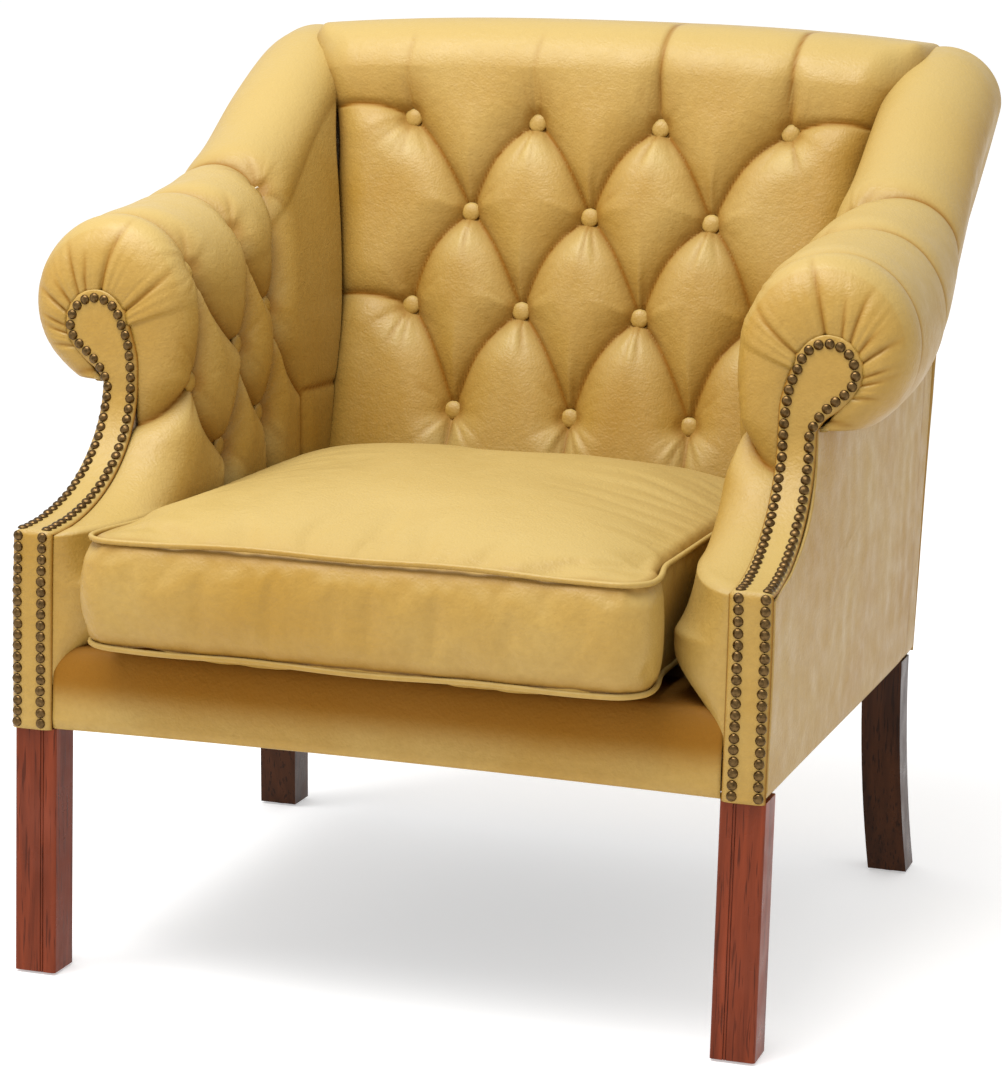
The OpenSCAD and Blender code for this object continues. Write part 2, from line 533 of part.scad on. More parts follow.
front_leg_left();
front_leg_right();
rear_leg_left();
rear_leg_right();
leg_glides();
front_seat_rail();
back_seat_rail();
side_seat_rail_left();
side_seat_rail_right();
corner_blocks();
corner_block_screws();
arm_post_left();
arm_post_right();
arm_rail_left();
arm_rail_right();
arm_ramp_left();
arm_ramp_right();
arm_tack_rail_left();
arm_tack_rail_right();
back_top_rail();
back_tack_rail();
seat_springs();
spring_clips();
seat_hessian();
seat_felt();
seat_deck();
back_webbing();
back_hessian();
arm_webbing_left();
arm_webbing_right();
inside_arm_pad_left();
inside_arm_pad_right();
arm_roll_pad_left();
arm_roll_pad_right();
arm_cover_left();
arm_cover_right();
back_pad();
back_cover();
outside_arm_left();
outside_arm_right();
outside_back();
front_border();
arm_facing_left();
arm_facing_right();
facing_nails_left();
facing_nails_right();
back_buttons();
arm_buttons_left();
arm_buttons_right();
back_button_ties();
arm_button_ties();
dust_cover();
cushion_core();
cushion_cover();
cushion_piping_top();
cushion_piping_bottom();
cushion_zip();
zip_slider();
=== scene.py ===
"""Tub armchair in buttoned leather with square legs and a loose cushion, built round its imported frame."""

import math

import bmesh
import bpy
import numpy as np
from mathutils import Matrix, Vector


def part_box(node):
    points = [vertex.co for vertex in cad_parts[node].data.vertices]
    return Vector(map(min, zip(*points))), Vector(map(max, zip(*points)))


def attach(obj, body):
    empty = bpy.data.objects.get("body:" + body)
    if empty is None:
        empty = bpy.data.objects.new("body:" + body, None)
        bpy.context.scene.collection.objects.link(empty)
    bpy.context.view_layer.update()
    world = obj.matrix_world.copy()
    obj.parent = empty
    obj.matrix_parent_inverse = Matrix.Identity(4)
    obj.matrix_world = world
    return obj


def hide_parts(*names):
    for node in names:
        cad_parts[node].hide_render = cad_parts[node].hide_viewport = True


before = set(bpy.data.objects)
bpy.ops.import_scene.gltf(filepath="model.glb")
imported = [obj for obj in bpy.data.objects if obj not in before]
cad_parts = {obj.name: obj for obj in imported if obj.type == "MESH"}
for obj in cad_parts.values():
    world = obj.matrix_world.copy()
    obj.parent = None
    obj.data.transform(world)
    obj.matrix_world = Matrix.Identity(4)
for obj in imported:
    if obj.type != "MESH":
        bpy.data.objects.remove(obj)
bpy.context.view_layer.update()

bl_info = {
    "name": "Buttoned Armchair",
    "version": (1, 0, 0),
    "blender": (4, 5, 0),
    "location": "View3D > Sidebar > Armchair",
    "description": "Builds a tub armchair in buttoned leather with a loose cushion",
    "category": "Add Mesh",
}

# ---- sizes taken from the frame, in metres ----
# Working distances along Y count backwards from the front of the front legs.
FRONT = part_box("front_leg_right")[0].y
LEG_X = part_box("front_leg_right")[1].x
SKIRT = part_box("front_border")[0].z
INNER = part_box("arm_cover_right")[0].x
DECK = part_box("seat_deck")[1].z
ROLL_X = 0.352                   # middle of the arm roll
ROLL_R = 0.086                   # radius of the arm roll at the front
PINCH = 0.545                    # where the roll meets the outside arm
KNEE = 0.424                     # where the arm's front edge starts to sweep back
SWEEP_Y = 0.184                  # how far that edge sweeps back
SWEEP_Z = PINCH - 0.005 - KNEE
FACING_Y = -0.005                # the facing's middle line below the knee
HEAD = (0.361, 0.600)            # middle of the facing's round head, X and Z
HEAD_R = 0.034
ARM_FOOT = 0.283                 # lowest edge of the leather inside the arms
LEAN_Z = 0.580                   # height where the arm's stations lie at their own Y
BACK_LEAN = 0.2535               # backward lean of the inside back
REAR_LEAN = 0.1116               # backward lean of the outside back
SIDES = (("left", -1), ("right", 1))


def mix(a, b, t):
    return a + (b - a) * t


def smooth(t):
    c = np.clip(t, 0, 1)
    return c * c * (3 - 2 * c)


def curve(x, xs, ys):
    """A smooth line through the points (xs, ys), read at x."""
    xs, ys = np.asarray(xs, float), np.asarray(ys, float)
    slope = np.gradient(ys, xs)
    x = np.clip(x, xs[0], xs[-1])
    i = np.clip(np.searchsorted(xs, x, side="right") - 1, 0, len(xs) - 2)
    step = xs[i + 1] - xs[i]
    t = (x - xs[i]) / step
    rise = t * t * (3 - 2 * t)
    lead = t * (1 - t) ** 2 * slope[i] - t * t * (1 - t) * slope[i + 1]
    return ys[i] + (ys[i + 1] - ys[i]) * rise + lead * step


def crest(y):
    """Height of the top of the arm roll and wing."""
    return curve(y, (0.10, 0.184, 0.37, 0.49, 0.55, 0.62, 0.68, 0.74),
                 (0.706, 0.706, 0.721, 0.748, 0.778, 0.834, 0.869, 0.884))


def wing(y):
    """How far the roll has turned into the wing at station y, 0 to 1."""
    return smooth((y - 0.300) / 0.320)


def crown_y(z):
    """The crowns of the tufting on the inside back."""
    return 0.577 + BACK_LEAN * (z - 0.485)


def rear_y(z):
    """The outside back."""
    return 0.702 + REAR_LEAN * (z - 0.240)


def station_lean(y):
    """Backward lean of the arm's leather at station y."""
    return mix(0.127 * smooth((y - 0.480) / 0.190), REAR_LEAN, smooth((y - 0.67) / 0.04))


def front_edge(z, inset):
    """How far back the front edge of the arm lies at height z."""
    rise = np.clip((z - KNEE + inset) / (SWEEP_Z + inset), 0, 1)
    sweep = np.sqrt(np.clip(1 - (1 - rise) ** 2, 0, 1))
    if inset > 0:
        return np.maximum(inset, (SWEEP_Y + inset) * sweep)
    return mix(inset, SWEEP_Y + inset, sweep)


# ---- settings a user would change ----
class LeatherSettings(bpy.types.PropertyGroup):
    """The hide and its buttoning"""

    colour: bpy.props.FloatVectorProperty(
        name="Colour", description="Main colour of the hide", subtype="COLOR", size=3, min=0, max=1,
        default=(0.370, 0.205, 0.029))
    # Partly painted highlight: the pale colour laid on surfaces that face upwards and over the tops of the
    # rolls and the cushion. Below each button, where the hide is stretched, it is partly real. A little of it
    # also goes into the random cloudy dye.
    pale: bpy.props.FloatVectorProperty(
        name="Pale", description="Colour where the hide is pulled tight or rubbed", subtype="COLOR", size=3,
        min=0, max=1, default=(0.43, 0.310, 0.105))
    # Painted shade: the colour laid down in the folds, the button pits, the seams and edges, and under
    # overhangs, where shade falls.
    deep: bpy.props.FloatVectorProperty(
        name="Deep", description="Colour down in the folds", subtype="COLOR", size=3, min=0, max=1,
        default=(0.200, 0.074, 0.006))
    grain: bpy.props.FloatProperty(
        name="Grain", description="Height of the grain", default=0.00035, min=0, subtype="DISTANCE",
        unit="LENGTH")
    thickness: bpy.props.FloatProperty(
        name="Thickness", description="Thickness of the hide", default=0.0016, min=0.0005, max=0.004,
        subtype="DISTANCE", unit="LENGTH")


class TuftSettings(bpy.types.PropertyGroup):
    """The deep buttoning"""

    depth: bpy.props.FloatProperty(
        name="Depth", description="Depth of the buttons below the crowns", default=0.0250, min=0.005,
        max=0.04, subtype="DISTANCE", unit="LENGTH")
    fold: bpy.props.FloatProperty(
        name="Fold", description="Depth in the middle of a fold", default=0.0150, min=0.002, max=0.03,
        subtype="DISTANCE", unit="LENGTH")
    button: bpy.props.FloatProperty(
        name="Button", description="Diameter of a covered button", default=0.0205, min=0.01, max=0.04,
        subtype="DISTANCE", unit="LENGTH")


class NailSettings(bpy.types.PropertyGroup):
    """The decorative nails"""

    diameter: bpy.props.FloatProperty(
        name="Diameter", description="Diameter of a nail head", default=0.0098, min=0.004, max=0.02,
        subtype="DISTANCE", unit="LENGTH")
    pitch: bpy.props.FloatProperty(
        name="Pitch", description="Spacing of the nails along a row", default=0.0103, min=0.005, max=0.03,
        subtype="DISTANCE", unit="LENGTH")
    colour: bpy.props.FloatVectorProperty(
        name="Colour", description="Colour of the aged brass", subtype="COLOR", size=3, min=0, max=1,
        default=(0.135, 0.080, 0.030))


class CushionSettings(bpy.types.PropertyGroup):
    """The loose seat cushion"""

    piping: bpy.props.FloatProperty(
        name="Piping", description="Radius of the piping", default=0.0027, min=0.001, max=0.008,
        subtype="DISTANCE", unit="LENGTH")
    pressure: bpy.props.FloatProperty(
        name="Pressure", description="How hard the filling presses out", default=4.0, min=0, max=20)
    swell: bpy.props.FloatProperty(
        name="Swell", description="Furthest a point of the cover may move", default=0.016, min=0, max=0.03,
        subtype="DISTANCE", unit="LENGTH")


class WoodSettings(bpy.types.PropertyGroup):
    """The show wood"""

    front_colour: bpy.props.FloatVectorProperty(
        name="Front legs", description="Colour of the front legs", subtype="COLOR", size=3, min=0, max=1,
        default=(0.170, 0.031, 0.010))
    # Painted shade: the rear legs get a far darker copy of the front legs' mahogany, for the shade they stand
    # in back under the chair.
    rear_shaded_colour: bpy.props.FloatVectorProperty(
        name="Rear legs", description="Colour of the rear legs", subtype="COLOR", size=3, min=0, max=1,
        default=(0.045, 0.014, 0.004))


class StageSettings(bpy.types.PropertyGroup):
    """Floor, light and camera"""

    azimuth: bpy.props.FloatProperty(
        name="Azimuth", description="Camera direction round the chair, from its front", subtype="ANGLE",
        unit="ROTATION", default=math.radians(17.10))
    elevation: bpy.props.FloatProperty(
        name="Elevation", description="Camera direction above the floor", default=math.radians(10.20),
        subtype="ANGLE", unit="ROTATION")
    key: bpy.props.FloatProperty(
        name="Key light", description="Power of the overhead light", default=80.0, min=0, subtype="POWER",
        unit="POWER")


class ArmchairSettings(bpy.types.PropertyGroup):
    """Everything a user would change"""

    leather: bpy.props.PointerProperty(type=LeatherSettings, name="Leather", description="The hide")
    tufts: bpy.props.PointerProperty(type=TuftSettings, name="Tufting", description="The deep buttoning")
    nails: bpy.props.PointerProperty(type=NailSettings, name="Nails", description="The decorative nails")
    cushion: bpy.props.PointerProperty(type=CushionSettings, name="Cushion", description="The seat cushion")
    wood: bpy.props.PointerProperty(type=WoodSettings, name="Wood", description="The show wood")
    stage: bpy.props.PointerProperty(type=StageSettings, name="Stage", description="Floor, light and camera")


def settings():
    """The values in the panel."""
    return bpy.context.scene.armchair


# ---- materials ----
class Shader:
    """A short way to write a material's nodes."""

    def __init__(self, name):
        self.material = bpy.data.materials.new(name)
        self.material.use_nodes = True
        self.tree = self.material.node_tree
        self.surface = self.tree.nodes["Principled BSDF"]
        self.place = self.add("ShaderNodeTexCoord").outputs["Object"]

    def add(self, kind, inputs=None, **fields):
        """A node of the given kind, with its sockets linked or set."""
        node = self.tree.nodes.new(kind)
        for field, value in fields.items():
            setattr(node, field, value)
        for socket, value in (inputs or {}).items():
            if isinstance(value, bpy.types.NodeSocket):
                self.tree.links.new(value, node.inputs[socket])
            else:
                node.inputs[socket].default_value = value
        return node

    def stretched(self, scale):
        return self.add("ShaderNodeMapping", {"Vector": self.place, "Scale": scale}).outputs["Vector"]

    def noise(self, scale, detail=3.0, roughness=0.5, vector=None, distortion=0.0):
        inputs = {"Vector": vector or self.place, "Scale": scale, "Detail": detail, "Roughness": roughness,
                  "Distortion": distortion}
        return self.add("ShaderNodeTexNoise", inputs).outputs["Fac"]

    def spread(self, value, low, high, to_low=0.0, to_high=1.0):
        inputs = {"Value": value, "From Min": low, "From Max": high, "To Min": to_low, "To Max": to_high}
        return self.add("ShaderNodeMapRange", inputs).outputs["Result"]

    def blend(self, factor, a, b, kind="MIX"):
        node = self.add("ShaderNodeMix", data_type="RGBA", blend_type=kind)
        for socket, value in ((0, factor), (6, a), (7, b)):
            if isinstance(value, bpy.types.NodeSocket):
                self.tree.links.new(value, node.inputs[socket])
            elif socket:
                node.inputs[socket].default_value = (*value[:3], 1)
            else:
                node.inputs[socket].default_value = value
        return node.outputs[2]

    def bump(self, height, distance, strength=1.0, after=None):
        inputs = {"Height": height, "Distance": distance, "Strength": strength}
        if after:
            inputs["Normal"] = after
        return self.add("ShaderNodeBump", inputs).outputs["Normal"]

    def set(self, **values):
        names = {"colour": "Base Color", "roughness": "Roughness", "metallic": "Metallic", "normal": "Normal",
                 "specular": "Specular IOR Level", "ior": "IOR", "glow": "Emission Strength"}
        for key, value in values.items():
            socket = self.surface.inputs[names[key]]
            if isinstance(value, bpy.types.NodeSocket):
                self.tree.links.new(value, socket)
            else:
                socket.default_value = (*value[:3], 1) if key == "colour" else value
        return self.material


def shade(colour, factor):
    """A colour made lighter or darker."""
    return tuple(factor * c for c in colour)


def leather(name="Leather"):
    """Waxed hide: pebbled grain and cloudy dye, with painted highlight on up-facing surfaces, a pale mark
    below the buttons that is partly stretch and partly painted highlight, and painted shade in deep ochre
    down in the folds.
    """
    if name in bpy.data.materials:
        return bpy.data.materials[name]
    hide = settings().leather
    s = Shader(name)
    half_pale = tuple(mix(a, b, 0.45) for a, b in zip(hide.colour, hide.pale))
    clouds = s.spread(s.noise(5.5, 4, 0.55), 0.32, 0.68)
    specks = s.spread(s.noise(150, 3, 0.6), 0.35, 0.7, 0, 0.22)
    colour = s.blend(clouds, shade(hide.colour, 0.93), half_pale)
    colour = s.blend(specks, colour, shade(hide.colour, 0.62))
    # Painted highlight: surfaces that face upwards are blended towards the pale colour, as if lit from above.
    normal = s.add("ShaderNodeNewGeometry").outputs["Normal"]
    upward = s.add("ShaderNodeSeparateXYZ", {"Vector": normal}).outputs["Z"]
    colour = s.blend(s.spread(upward, 0.25, 0.95, 0.0, 0.75), colour, tuple(hide.pale))
    # This mark lays the pale colour below each button, where it is partly stretched hide and partly painted
    # highlight, and over the tops of the rolls and the cushion as painted highlight.
    stretch_and_highlight = s.add("ShaderNodeAttribute", attribute_name="stretch_and_highlight").outputs["Fac"]
    colour = s.blend(stretch_and_highlight, colour, tuple(hide.pale))
    # Painted shade: this mark lays the deep colour in the folds, pits, seams and edges and under overhangs,
    # where shade falls.
    painted_shade = s.add("ShaderNodeAttribute", attribute_name="painted_shade").outputs["Fac"]
    colour = s.blend(painted_shade, colour, tuple(hide.deep))
    pebbles = s.add("ShaderNodeTexVoronoi", {"Vector": s.place, "Scale": 420.0, "Randomness": 1.0},
                    feature="SMOOTH_F1").outputs["Distance"]
    wrinkles = s.noise(110, 5, 0.62, s.stretched((1.0, 1.0, 1.3)), 0.6)
    normal = s.bump(wrinkles, 0.0014, 0.50)
    normal = s.bump(pebbles, hide.grain, 0.8, normal)
    roughness = s.spread(s.noise(38, 3), 0.3, 0.7, 0.36, 0.50)
    # The painted shade mark also dulls the shine down in the folds.
    shine = s.spread(painted_shade, 0.0, 0.8, 0.55, 0.05)
    return s.set(colour=colour, roughness=roughness, normal=normal, specular=shine, ior=1.34)


def mahogany(name, colour):
    """Polished red wood with long dark pores, rubbed paler along its length."""
    s = Shader(name)
    along = s.stretched((60, 60, 3.2))
    bands = s.spread(s.noise(1.0, 4, 0.6, along, 0.4), 0.35, 0.65)
    pores = s.spread(s.noise(7.0, 2, 0.5, along), 0.58, 0.66, 0, 0.75)
    rub = s.spread(s.noise(9, 3, 0.6), 0.55, 0.85, 0, 0.35)
    tone = s.blend(bands, shade(colour, 0.62), shade(colour, 1.25))
    tone = s.blend(rub, tone, tuple(mix(1.5 * c, 0.20, 0.12) for c in colour))
    tone = s.blend(pores, tone, shade(colour, 0.30))
    normal = s.bump(pores, 0.0002, 0.5)
    roughness = s.spread(s.noise(30, 3), 0.3, 0.7, 0.24, 0.42)
    return s.set(colour=tone, roughness=roughness, normal=normal, specular=0.3, ior=1.3)


def pale_timber(name="Beech"):
    """Plain sawn beech with short dark flecks."""
    s = Shader(name)
    along = s.stretched((9, 40, 40))
    bands = s.spread(s.noise(1.0, 4, 0.55, along, 0.5), 0.3, 0.7)
    flecks = s.spread(s.noise(5.0, 2, 0.5, along), 0.6, 0.68, 0, 0.6)
    tone = s.blend(bands, (0.52, 0.33, 0.17), (0.66, 0.46, 0.27))
    tone = s.blend(flecks, tone, (0.33, 0.18, 0.08))
    return s.set(colour=tone, roughness=0.62, normal=s.bump(flecks, 0.0003, 0.4))


def woven(name, light, dark, pitch):
    """Plain weave: threads over and under at the given pitch."""
    s = Shader(name)
    band = {"Vector": s.place, "Scale": 0.314 / pitch, "Distortion": 0.6, "Detail": 1.0, "Detail Scale": 2.0}
    threads = [s.add("ShaderNodeTexWave", band, wave_type="BANDS", bands_direction=axis).outputs["Fac"]
               for axis in ("X", "Y", "Z")]
    pair = s.add("ShaderNodeMath", {0: threads[0], 1: threads[2]}, operation="MAXIMUM").outputs[0]
    weave = s.add("ShaderNodeMath", {0: pair, 1: threads[1]}, operation="MULTIPLY").outputs[0]
    slubs = s.spread(s.noise(220, 2), 0.4, 0.7, 0, 0.35)
    tone = s.blend(slubs, s.blend(weave, dark, light), shade(light, 0.7))
    return s.set(colour=tone, roughness=0.92, normal=s.bump(weave, pitch * 0.3, 0.7), specular=0.2)


def metal(name, colour, rough_low, rough_high, stain):
    """Worn metal: darker stain in patches, with roughness that varies from piece to piece."""
    s = Shader(name)
    patches = s.spread(s.noise(260, 3, 0.6), 0.42, 0.72)
    tone = s.blend(patches, colour, stain)
    roughness = s.spread(s.noise(190, 3), 0.3, 0.7, rough_low, rough_high)
    dents = s.noise(420, 2)
    return s.set(colour=tone, metallic=1.0, roughness=roughness, normal=s.bump(dents, 0.0004, 0.35))


def plain(name, dark, light, roughness, scale=60):
    """An even material, mottled between two tones."""
    s = Shader(name)
    tone = s.blend(s.noise(scale, 3), dark, light)
    return s.set(colour=tone, roughness=roughness, normal=s.bump(s.noise(scale * 8, 2), 0.0002, 0.4))


# ---- making pieces ----
def finish(obj, material, body, node=()):
    """The lines every piece needs: its material, its body and the nodes it stands for, which it hides."""
    if obj.name not in bpy.context.scene.collection.objects:
        bpy.context.scene.collection.objects.link(obj)
    obj.data.materials.clear()
    obj.data.materials.append(material)
    obj.data.polygons.foreach_set("use_smooth", [True] * len(obj.data.polygons))
    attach(obj, body)
    if node:
        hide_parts(*([node] if isinstance(node, str) else node))
    return obj


def thicken(obj, thickness):
    """Gives a sheet its thickness, inwards from its outer face."""
    wall = obj.modifiers.new("Hide", "SOLIDIFY")
    wall.thickness = thickness
    wall.offset = -1.0


def sheet(name, points, marks=None, side=1, close=False, turned=False):
    """A grid of leather with a row of points for each row of the array, mirrored for the left side. Its outer
    face is the one that the rows cross the columns towards, or the other one if it is turned."""
    marks = marks or {}
    if turned:
        points = points[:, ::-1]
        marks = {key: values[:, ::-1] for key, values in marks.items()}
    rows, columns = points.shape[:2]
    bm = bmesh.new()
    bmesh.ops.create_grid(bm, x_segments=columns - 1, y_segments=rows - 1, size=0.5)
    mesh = bpy.data.meshes.new(name)
    bm.to_mesh(mesh)
    bm.free()
    flat = np.zeros(rows * columns * 3)
    mesh.vertices.foreach_get("co", flat)
    flat = flat.reshape(-1, 3)
    row = np.rint((flat[:, 1] + 0.5) * (rows - 1)).astype(int)
    column = np.rint((flat[:, 0] + 0.5) * (columns - 1)).astype(int)
    place = points[row, column].copy()
    place[:, 0] *= side
    place[:, 1] += FRONT
    mesh.vertices.foreach_set("co", place.ravel())
    for key, values in marks.items():
        layer = mesh.attributes.new(key, "FLOAT", "POINT")
        layer.data.foreach_set("value", np.clip(values[row, column], 0, 1).ravel())
    bm = bmesh.new()
    bm.from_mesh(mesh)
    if close:
        bmesh.ops.remove_doubles(bm, verts=bm.verts, dist=1e-5)
    if side > 0:
        bmesh.ops.reverse_faces(bm, faces=bm.faces)
    bm.to_mesh(mesh)
    bm.free()
    mesh.update()
    return bpy.data.objects.new(name, mesh)


def normals_of(points):
    """Normals of a grid, on the side that its rows cross its columns towards."""
    up = np.gradient(points, axis=0)
    back = np.gradient(points, axis=1)
    n = np.cross(up, back)
    return n / np.maximum(np.linalg.norm(n, axis=2, keepdims=True), 1e-12)


# ---- folds, buttons and wrinkles ----
class Fold:
    """A fold from one place to another: how deep at its start, middle and end, and how far it reaches."""

    def __init__(self, start, end, depths, reach=0.044, bow=0.0, seam=0.0026, lip=1):
        a, b = np.array(start, float), np.array(end, float)
        across = np.array([a[1] - b[1], b[0] - a[0]]) / np.linalg.norm(b - a)
        t = np.linspace(0, 1, 9)[:, None]
        self.line = a + (b - a) * t + across * bow * (4 * t * (1 - t)) * (1.25 - 0.5 * t)
        self.depths, self.reach, self.seam, self.lip = depths, reach, seam, lip

    def measure(self, p):
        """(distance, place along 0..1, side) of the points p from the fold."""
        best = np.full(len(p), 1e9)
        along = np.zeros(len(p))
        side = np.zeros(len(p))
        steps = len(self.line) - 1
        for k in range(steps):
            a, b = self.line[k], self.line[k + 1]
            d = b - a
            t = np.clip(((p - a) @ d) / (d @ d), 0, 1)
            gap = p - a - t[:, None] * d
            dist = np.hypot(gap[:, 0], gap[:, 1])
            nearer = dist < best
            best = np.where(nearer, dist, best)
            along = np.where(nearer, (k + t) / steps, along)
            side = np.where(nearer, np.sign(d[0] * gap[:, 1] - d[1] * gap[:, 0]), side)
        return best, along, side


def tufted(p, buttons, folds, pit, seed=3, wrinkle=0.0010):
    """For points p on the leather: depth below the crowns, painted shade down in the folds and pits, and a
    pale mark that is partly stretch below each button and partly painted highlight.
    """
    deep = np.zeros(len(p))
    seam = np.zeros(len(p))
    shade = np.zeros(len(p))
    for fold in folds:
        d, t, side = fold.measure(p)
        first, middle, last = fold.depths
        away = np.abs(2 * t - 1) ** 1.6
        depth = np.where(t < 0.5, mix(middle, first, away), mix(middle, last, away))
        reach = fold.reach * (0.85 + 0.3 * (depth / max(fold.depths)))
        pillow = depth * (1 - np.clip(d / reach, 0, 1)) ** 2.2
        lip = 0.32 * fold.seam * np.exp(-((d - 0.0055) / 0.003) ** 2) * (side * fold.lip > 0)
        deep = np.maximum(deep, pillow)
        end = np.clip(t * 12, 0, 1) * np.clip((1 - t) * 12, 0, 1)
        tail = smooth((1 - t) * 4) if last < 0.002 else 1.0
        groove = tail * fold.seam * np.exp(-((d / 0.0029) ** 1.5)) * mix(0.5, 1, end)
        seam = np.maximum(seam, groove) - lip * np.clip(1 - deep / pit, 0.3, 1)
        # Painted shade along each fold line and over the deep middle of each fold.
        shade = np.maximum(shade, 0.95 * tail * np.exp(-((d / 0.0029) ** 1.6)) * min(1, fold.seam / 0.0018))
        shade = np.maximum(shade, 0.50 * (depth / pit) ** 0.7 * (1 - np.clip(d / (0.6 * reach), 0, 1)) ** 2)
    stretch_and_highlight = np.zeros(len(p))
    rng = np.random.default_rng(seed)
    for centre in buttons:
        gap = p - np.array(centre)
        r = np.hypot(gap[:, 0], gap[:, 1])
        angle = np.arctan2(gap[:, 1], gap[:, 0])
        cone = pit * (1 - np.clip(r / 0.036, 0, 1)) ** 2.3
        deep = np.maximum(deep, cone) + 0.0028 * np.exp(-((r / 0.0115) ** 4))
        g = sum(np.sin(k * angle + rng.uniform(0, 6.3)) for k in (6, 9, 14, 19)) / 2.2
        upright = np.abs(np.sin(angle)) ** 1.6
        fade = np.exp(-(((r - 0.026) / 0.019) ** 2)) * upright
        crinkle = np.clip(g, 0, 1) * fade
        deep = deep + wrinkle * 2.1 * crinkle
        # Painted shade in each button's pit and among the wrinkles round it.
        shade = np.maximum(shade, 0.40 * crinkle + 0.6 * np.exp(-((r / 0.0165) ** 4)))
        above = np.exp(-((gap[:, 0] / 0.020) ** 2) - (((gap[:, 1] - 0.026) / 0.022) ** 2))
        below = np.exp(-((gap[:, 0] / 0.024) ** 2) - (((gap[:, 1] + 0.030) / 0.017) ** 2))
        # Painted shade just above each button.
        shade = np.maximum(shade, 0.30 * above)
        # Partly painted highlight: a pale patch just below each button, where the hide is stretched over the
        # bulge that faces the light.
        stretch_and_highlight = np.maximum(stretch_and_highlight, 0.75 * below)
    return deep + seam, np.clip(shade, 0, 1), np.clip(stretch_and_highlight, 0, 1)


def creased(points, normal, a, b, buttons, folds, pit, seed):
    """The grid of points pressed in along its folds, and the marks for its shading."""
    shape = points.shape[:2]
    p = np.stack([a.ravel(), b.ravel()], axis=1)
    deep, shade, stretch_and_highlight = tufted(p, buttons, folds, pit, seed)
    deep = deep.reshape(shape)
    return points - normal * deep[..., None], {"painted_shade": shade.reshape(shape), "stretch_and_highlight": stretch_and_highlight.reshape(shape)}


# ---- inside arm, roll and wing ----
# each button's Y, Z and X
ARM_BUTTONS = {"A1": (0.481, 0.719, 0.311), "A2": (0.371, 0.681, 0.298), "A3": (0.237, 0.6535, 0.289),
               "B1": (0.435, 0.600, 0.281), "B2": (0.345, 0.568, 0.280), "B3": (0.224, 0.5435, 0.280),
               "C1": (0.405, 0.491, 0.279), "C2": (0.300, 0.4705, 0.279)}
CAP = 0.045                      # how far the front of the arm is rounded
CAP_RUN = 0.070                  # length of leather over that rounding
REAR_ROUND = 0.009               # rounding of the wing's rear edge
REAR_INSET = 0.036               # how far the leather runs in behind the outside back


def arm_profile(y, v):
    """X, Z and developed height of the leather at station y. v runs 0 to 1 up the inside face, 1 to 3 over
    the top, 3 to 4 round underneath and then into the seam."""
    w = wing(y)
    top = crest(y)
    r_in, r_out = mix(ROLL_R, 0.050, w), mix(ROLL_R, 0.060, w)
    x_in, x_out = mix(ROLL_X, 0.350, w), mix(ROLL_X, 0.357, w)
    start_z = top - r_in
    start_x = x_in - r_in
    face = np.clip(v, 0, 1)
    z = mix(ARM_FOOT, start_z, face)
    slope = np.clip((z - 0.551) / np.maximum(start_z - 0.551, 1e-6), 0, 1)
    x = INNER + (start_x - INNER) * slope ** 1.6
    tuck = 0.050 * (1 - smooth((z - ARM_FOOT) / 0.085)) * (1 - smooth((y - 0.06) / 0.08))
    x = x + tuck
    turn = np.clip((v - 1) / 2, 0, 1)
    theta = math.pi * (1 - turn)
    r = mix(r_in, r_out, smooth(turn))
    over_x = mix(x_in, x_out, smooth(turn)) + r * np.cos(theta)
    over_z = top - r + r * np.sin(theta)
    under = np.clip(v - 3, 0, 1)
    slide = smooth(under * 2)
    low_r = mix(r_out, mix(ROLL_R, 0.048, w), slide)
    low_x = mix(x_out, mix(ROLL_X, 0.326, smooth((y - 0.600) / 0.120)), slide)
    low_z = mix(top - r_out, mix(top - ROLL_R, 0.627, w), slide)
    dip = under * mix(math.radians(60), math.radians(66), w)
    under_x = low_x + low_r * np.cos(dip)
    under_z = low_z - low_r * np.sin(dip)
    last = np.clip((v - 4) / 0.3, 0, 1)
    under_x = mix(under_x, 0.356, last)
    under_z = mix(under_z, mix(PINCH, 0.580, w) + 0.001, last)
    x = np.where(v > 1, over_x, x)
    z = np.where(v > 1, over_z, z)
    x = np.where(v > 3, under_x, x)
    z = np.where(v > 3, under_z, z)
    q = np.where(v <= 1, z, start_z + r_in * math.pi * turn + 0.086 * 1.1 * (under + last * 0.4))
    return x, z, q


def arm_seam(v):
    """The seam round the facing, where the arm's leather starts: X, Y and Z."""
    face = np.clip(v, 0, 1)
    z = mix(ARM_FOOT, HEAD[1], face)
    x = curve(z, (0.28, 0.42, 0.50, 0.545, 0.575, 0.600), (0.3200, 0.3198, 0.3175, 0.3165, 0.3185, 0.3250))
    x = x + 0.0022
    y = front_edge(z, 0.0) - 0.0028
    turn = np.clip((v - 1) / 2, 0, 1)
    theta = math.pi * (1 - turn)
    seam_r = HEAD_R - 0.0022
    x = np.where(v > 1, HEAD[0] + seam_r * np.cos(theta), x)
    z = np.where(v > 1, HEAD[1] + seam_r * np.sin(theta), z)
    under = np.clip(v - 3, 0, 1)
    dip = math.radians(48) * np.clip(under / 0.6, 0, 1)
    out = np.clip((under - 0.6) / 0.4, 0, 1)
    x_low = mix(HEAD[0] + seam_r * np.cos(dip), 0.3550, out)
    z_low = mix(HEAD[1] - seam_r * np.sin(dip), PINCH + 0.001, out)
    x = np.where(v > 3, x_low, x)
    z = np.where(v > 3, z_low, z)
    y = np.where(v > 1, SWEEP_Y - 0.0052, y)
    y = y + 0.004 * out
    return x, y, z


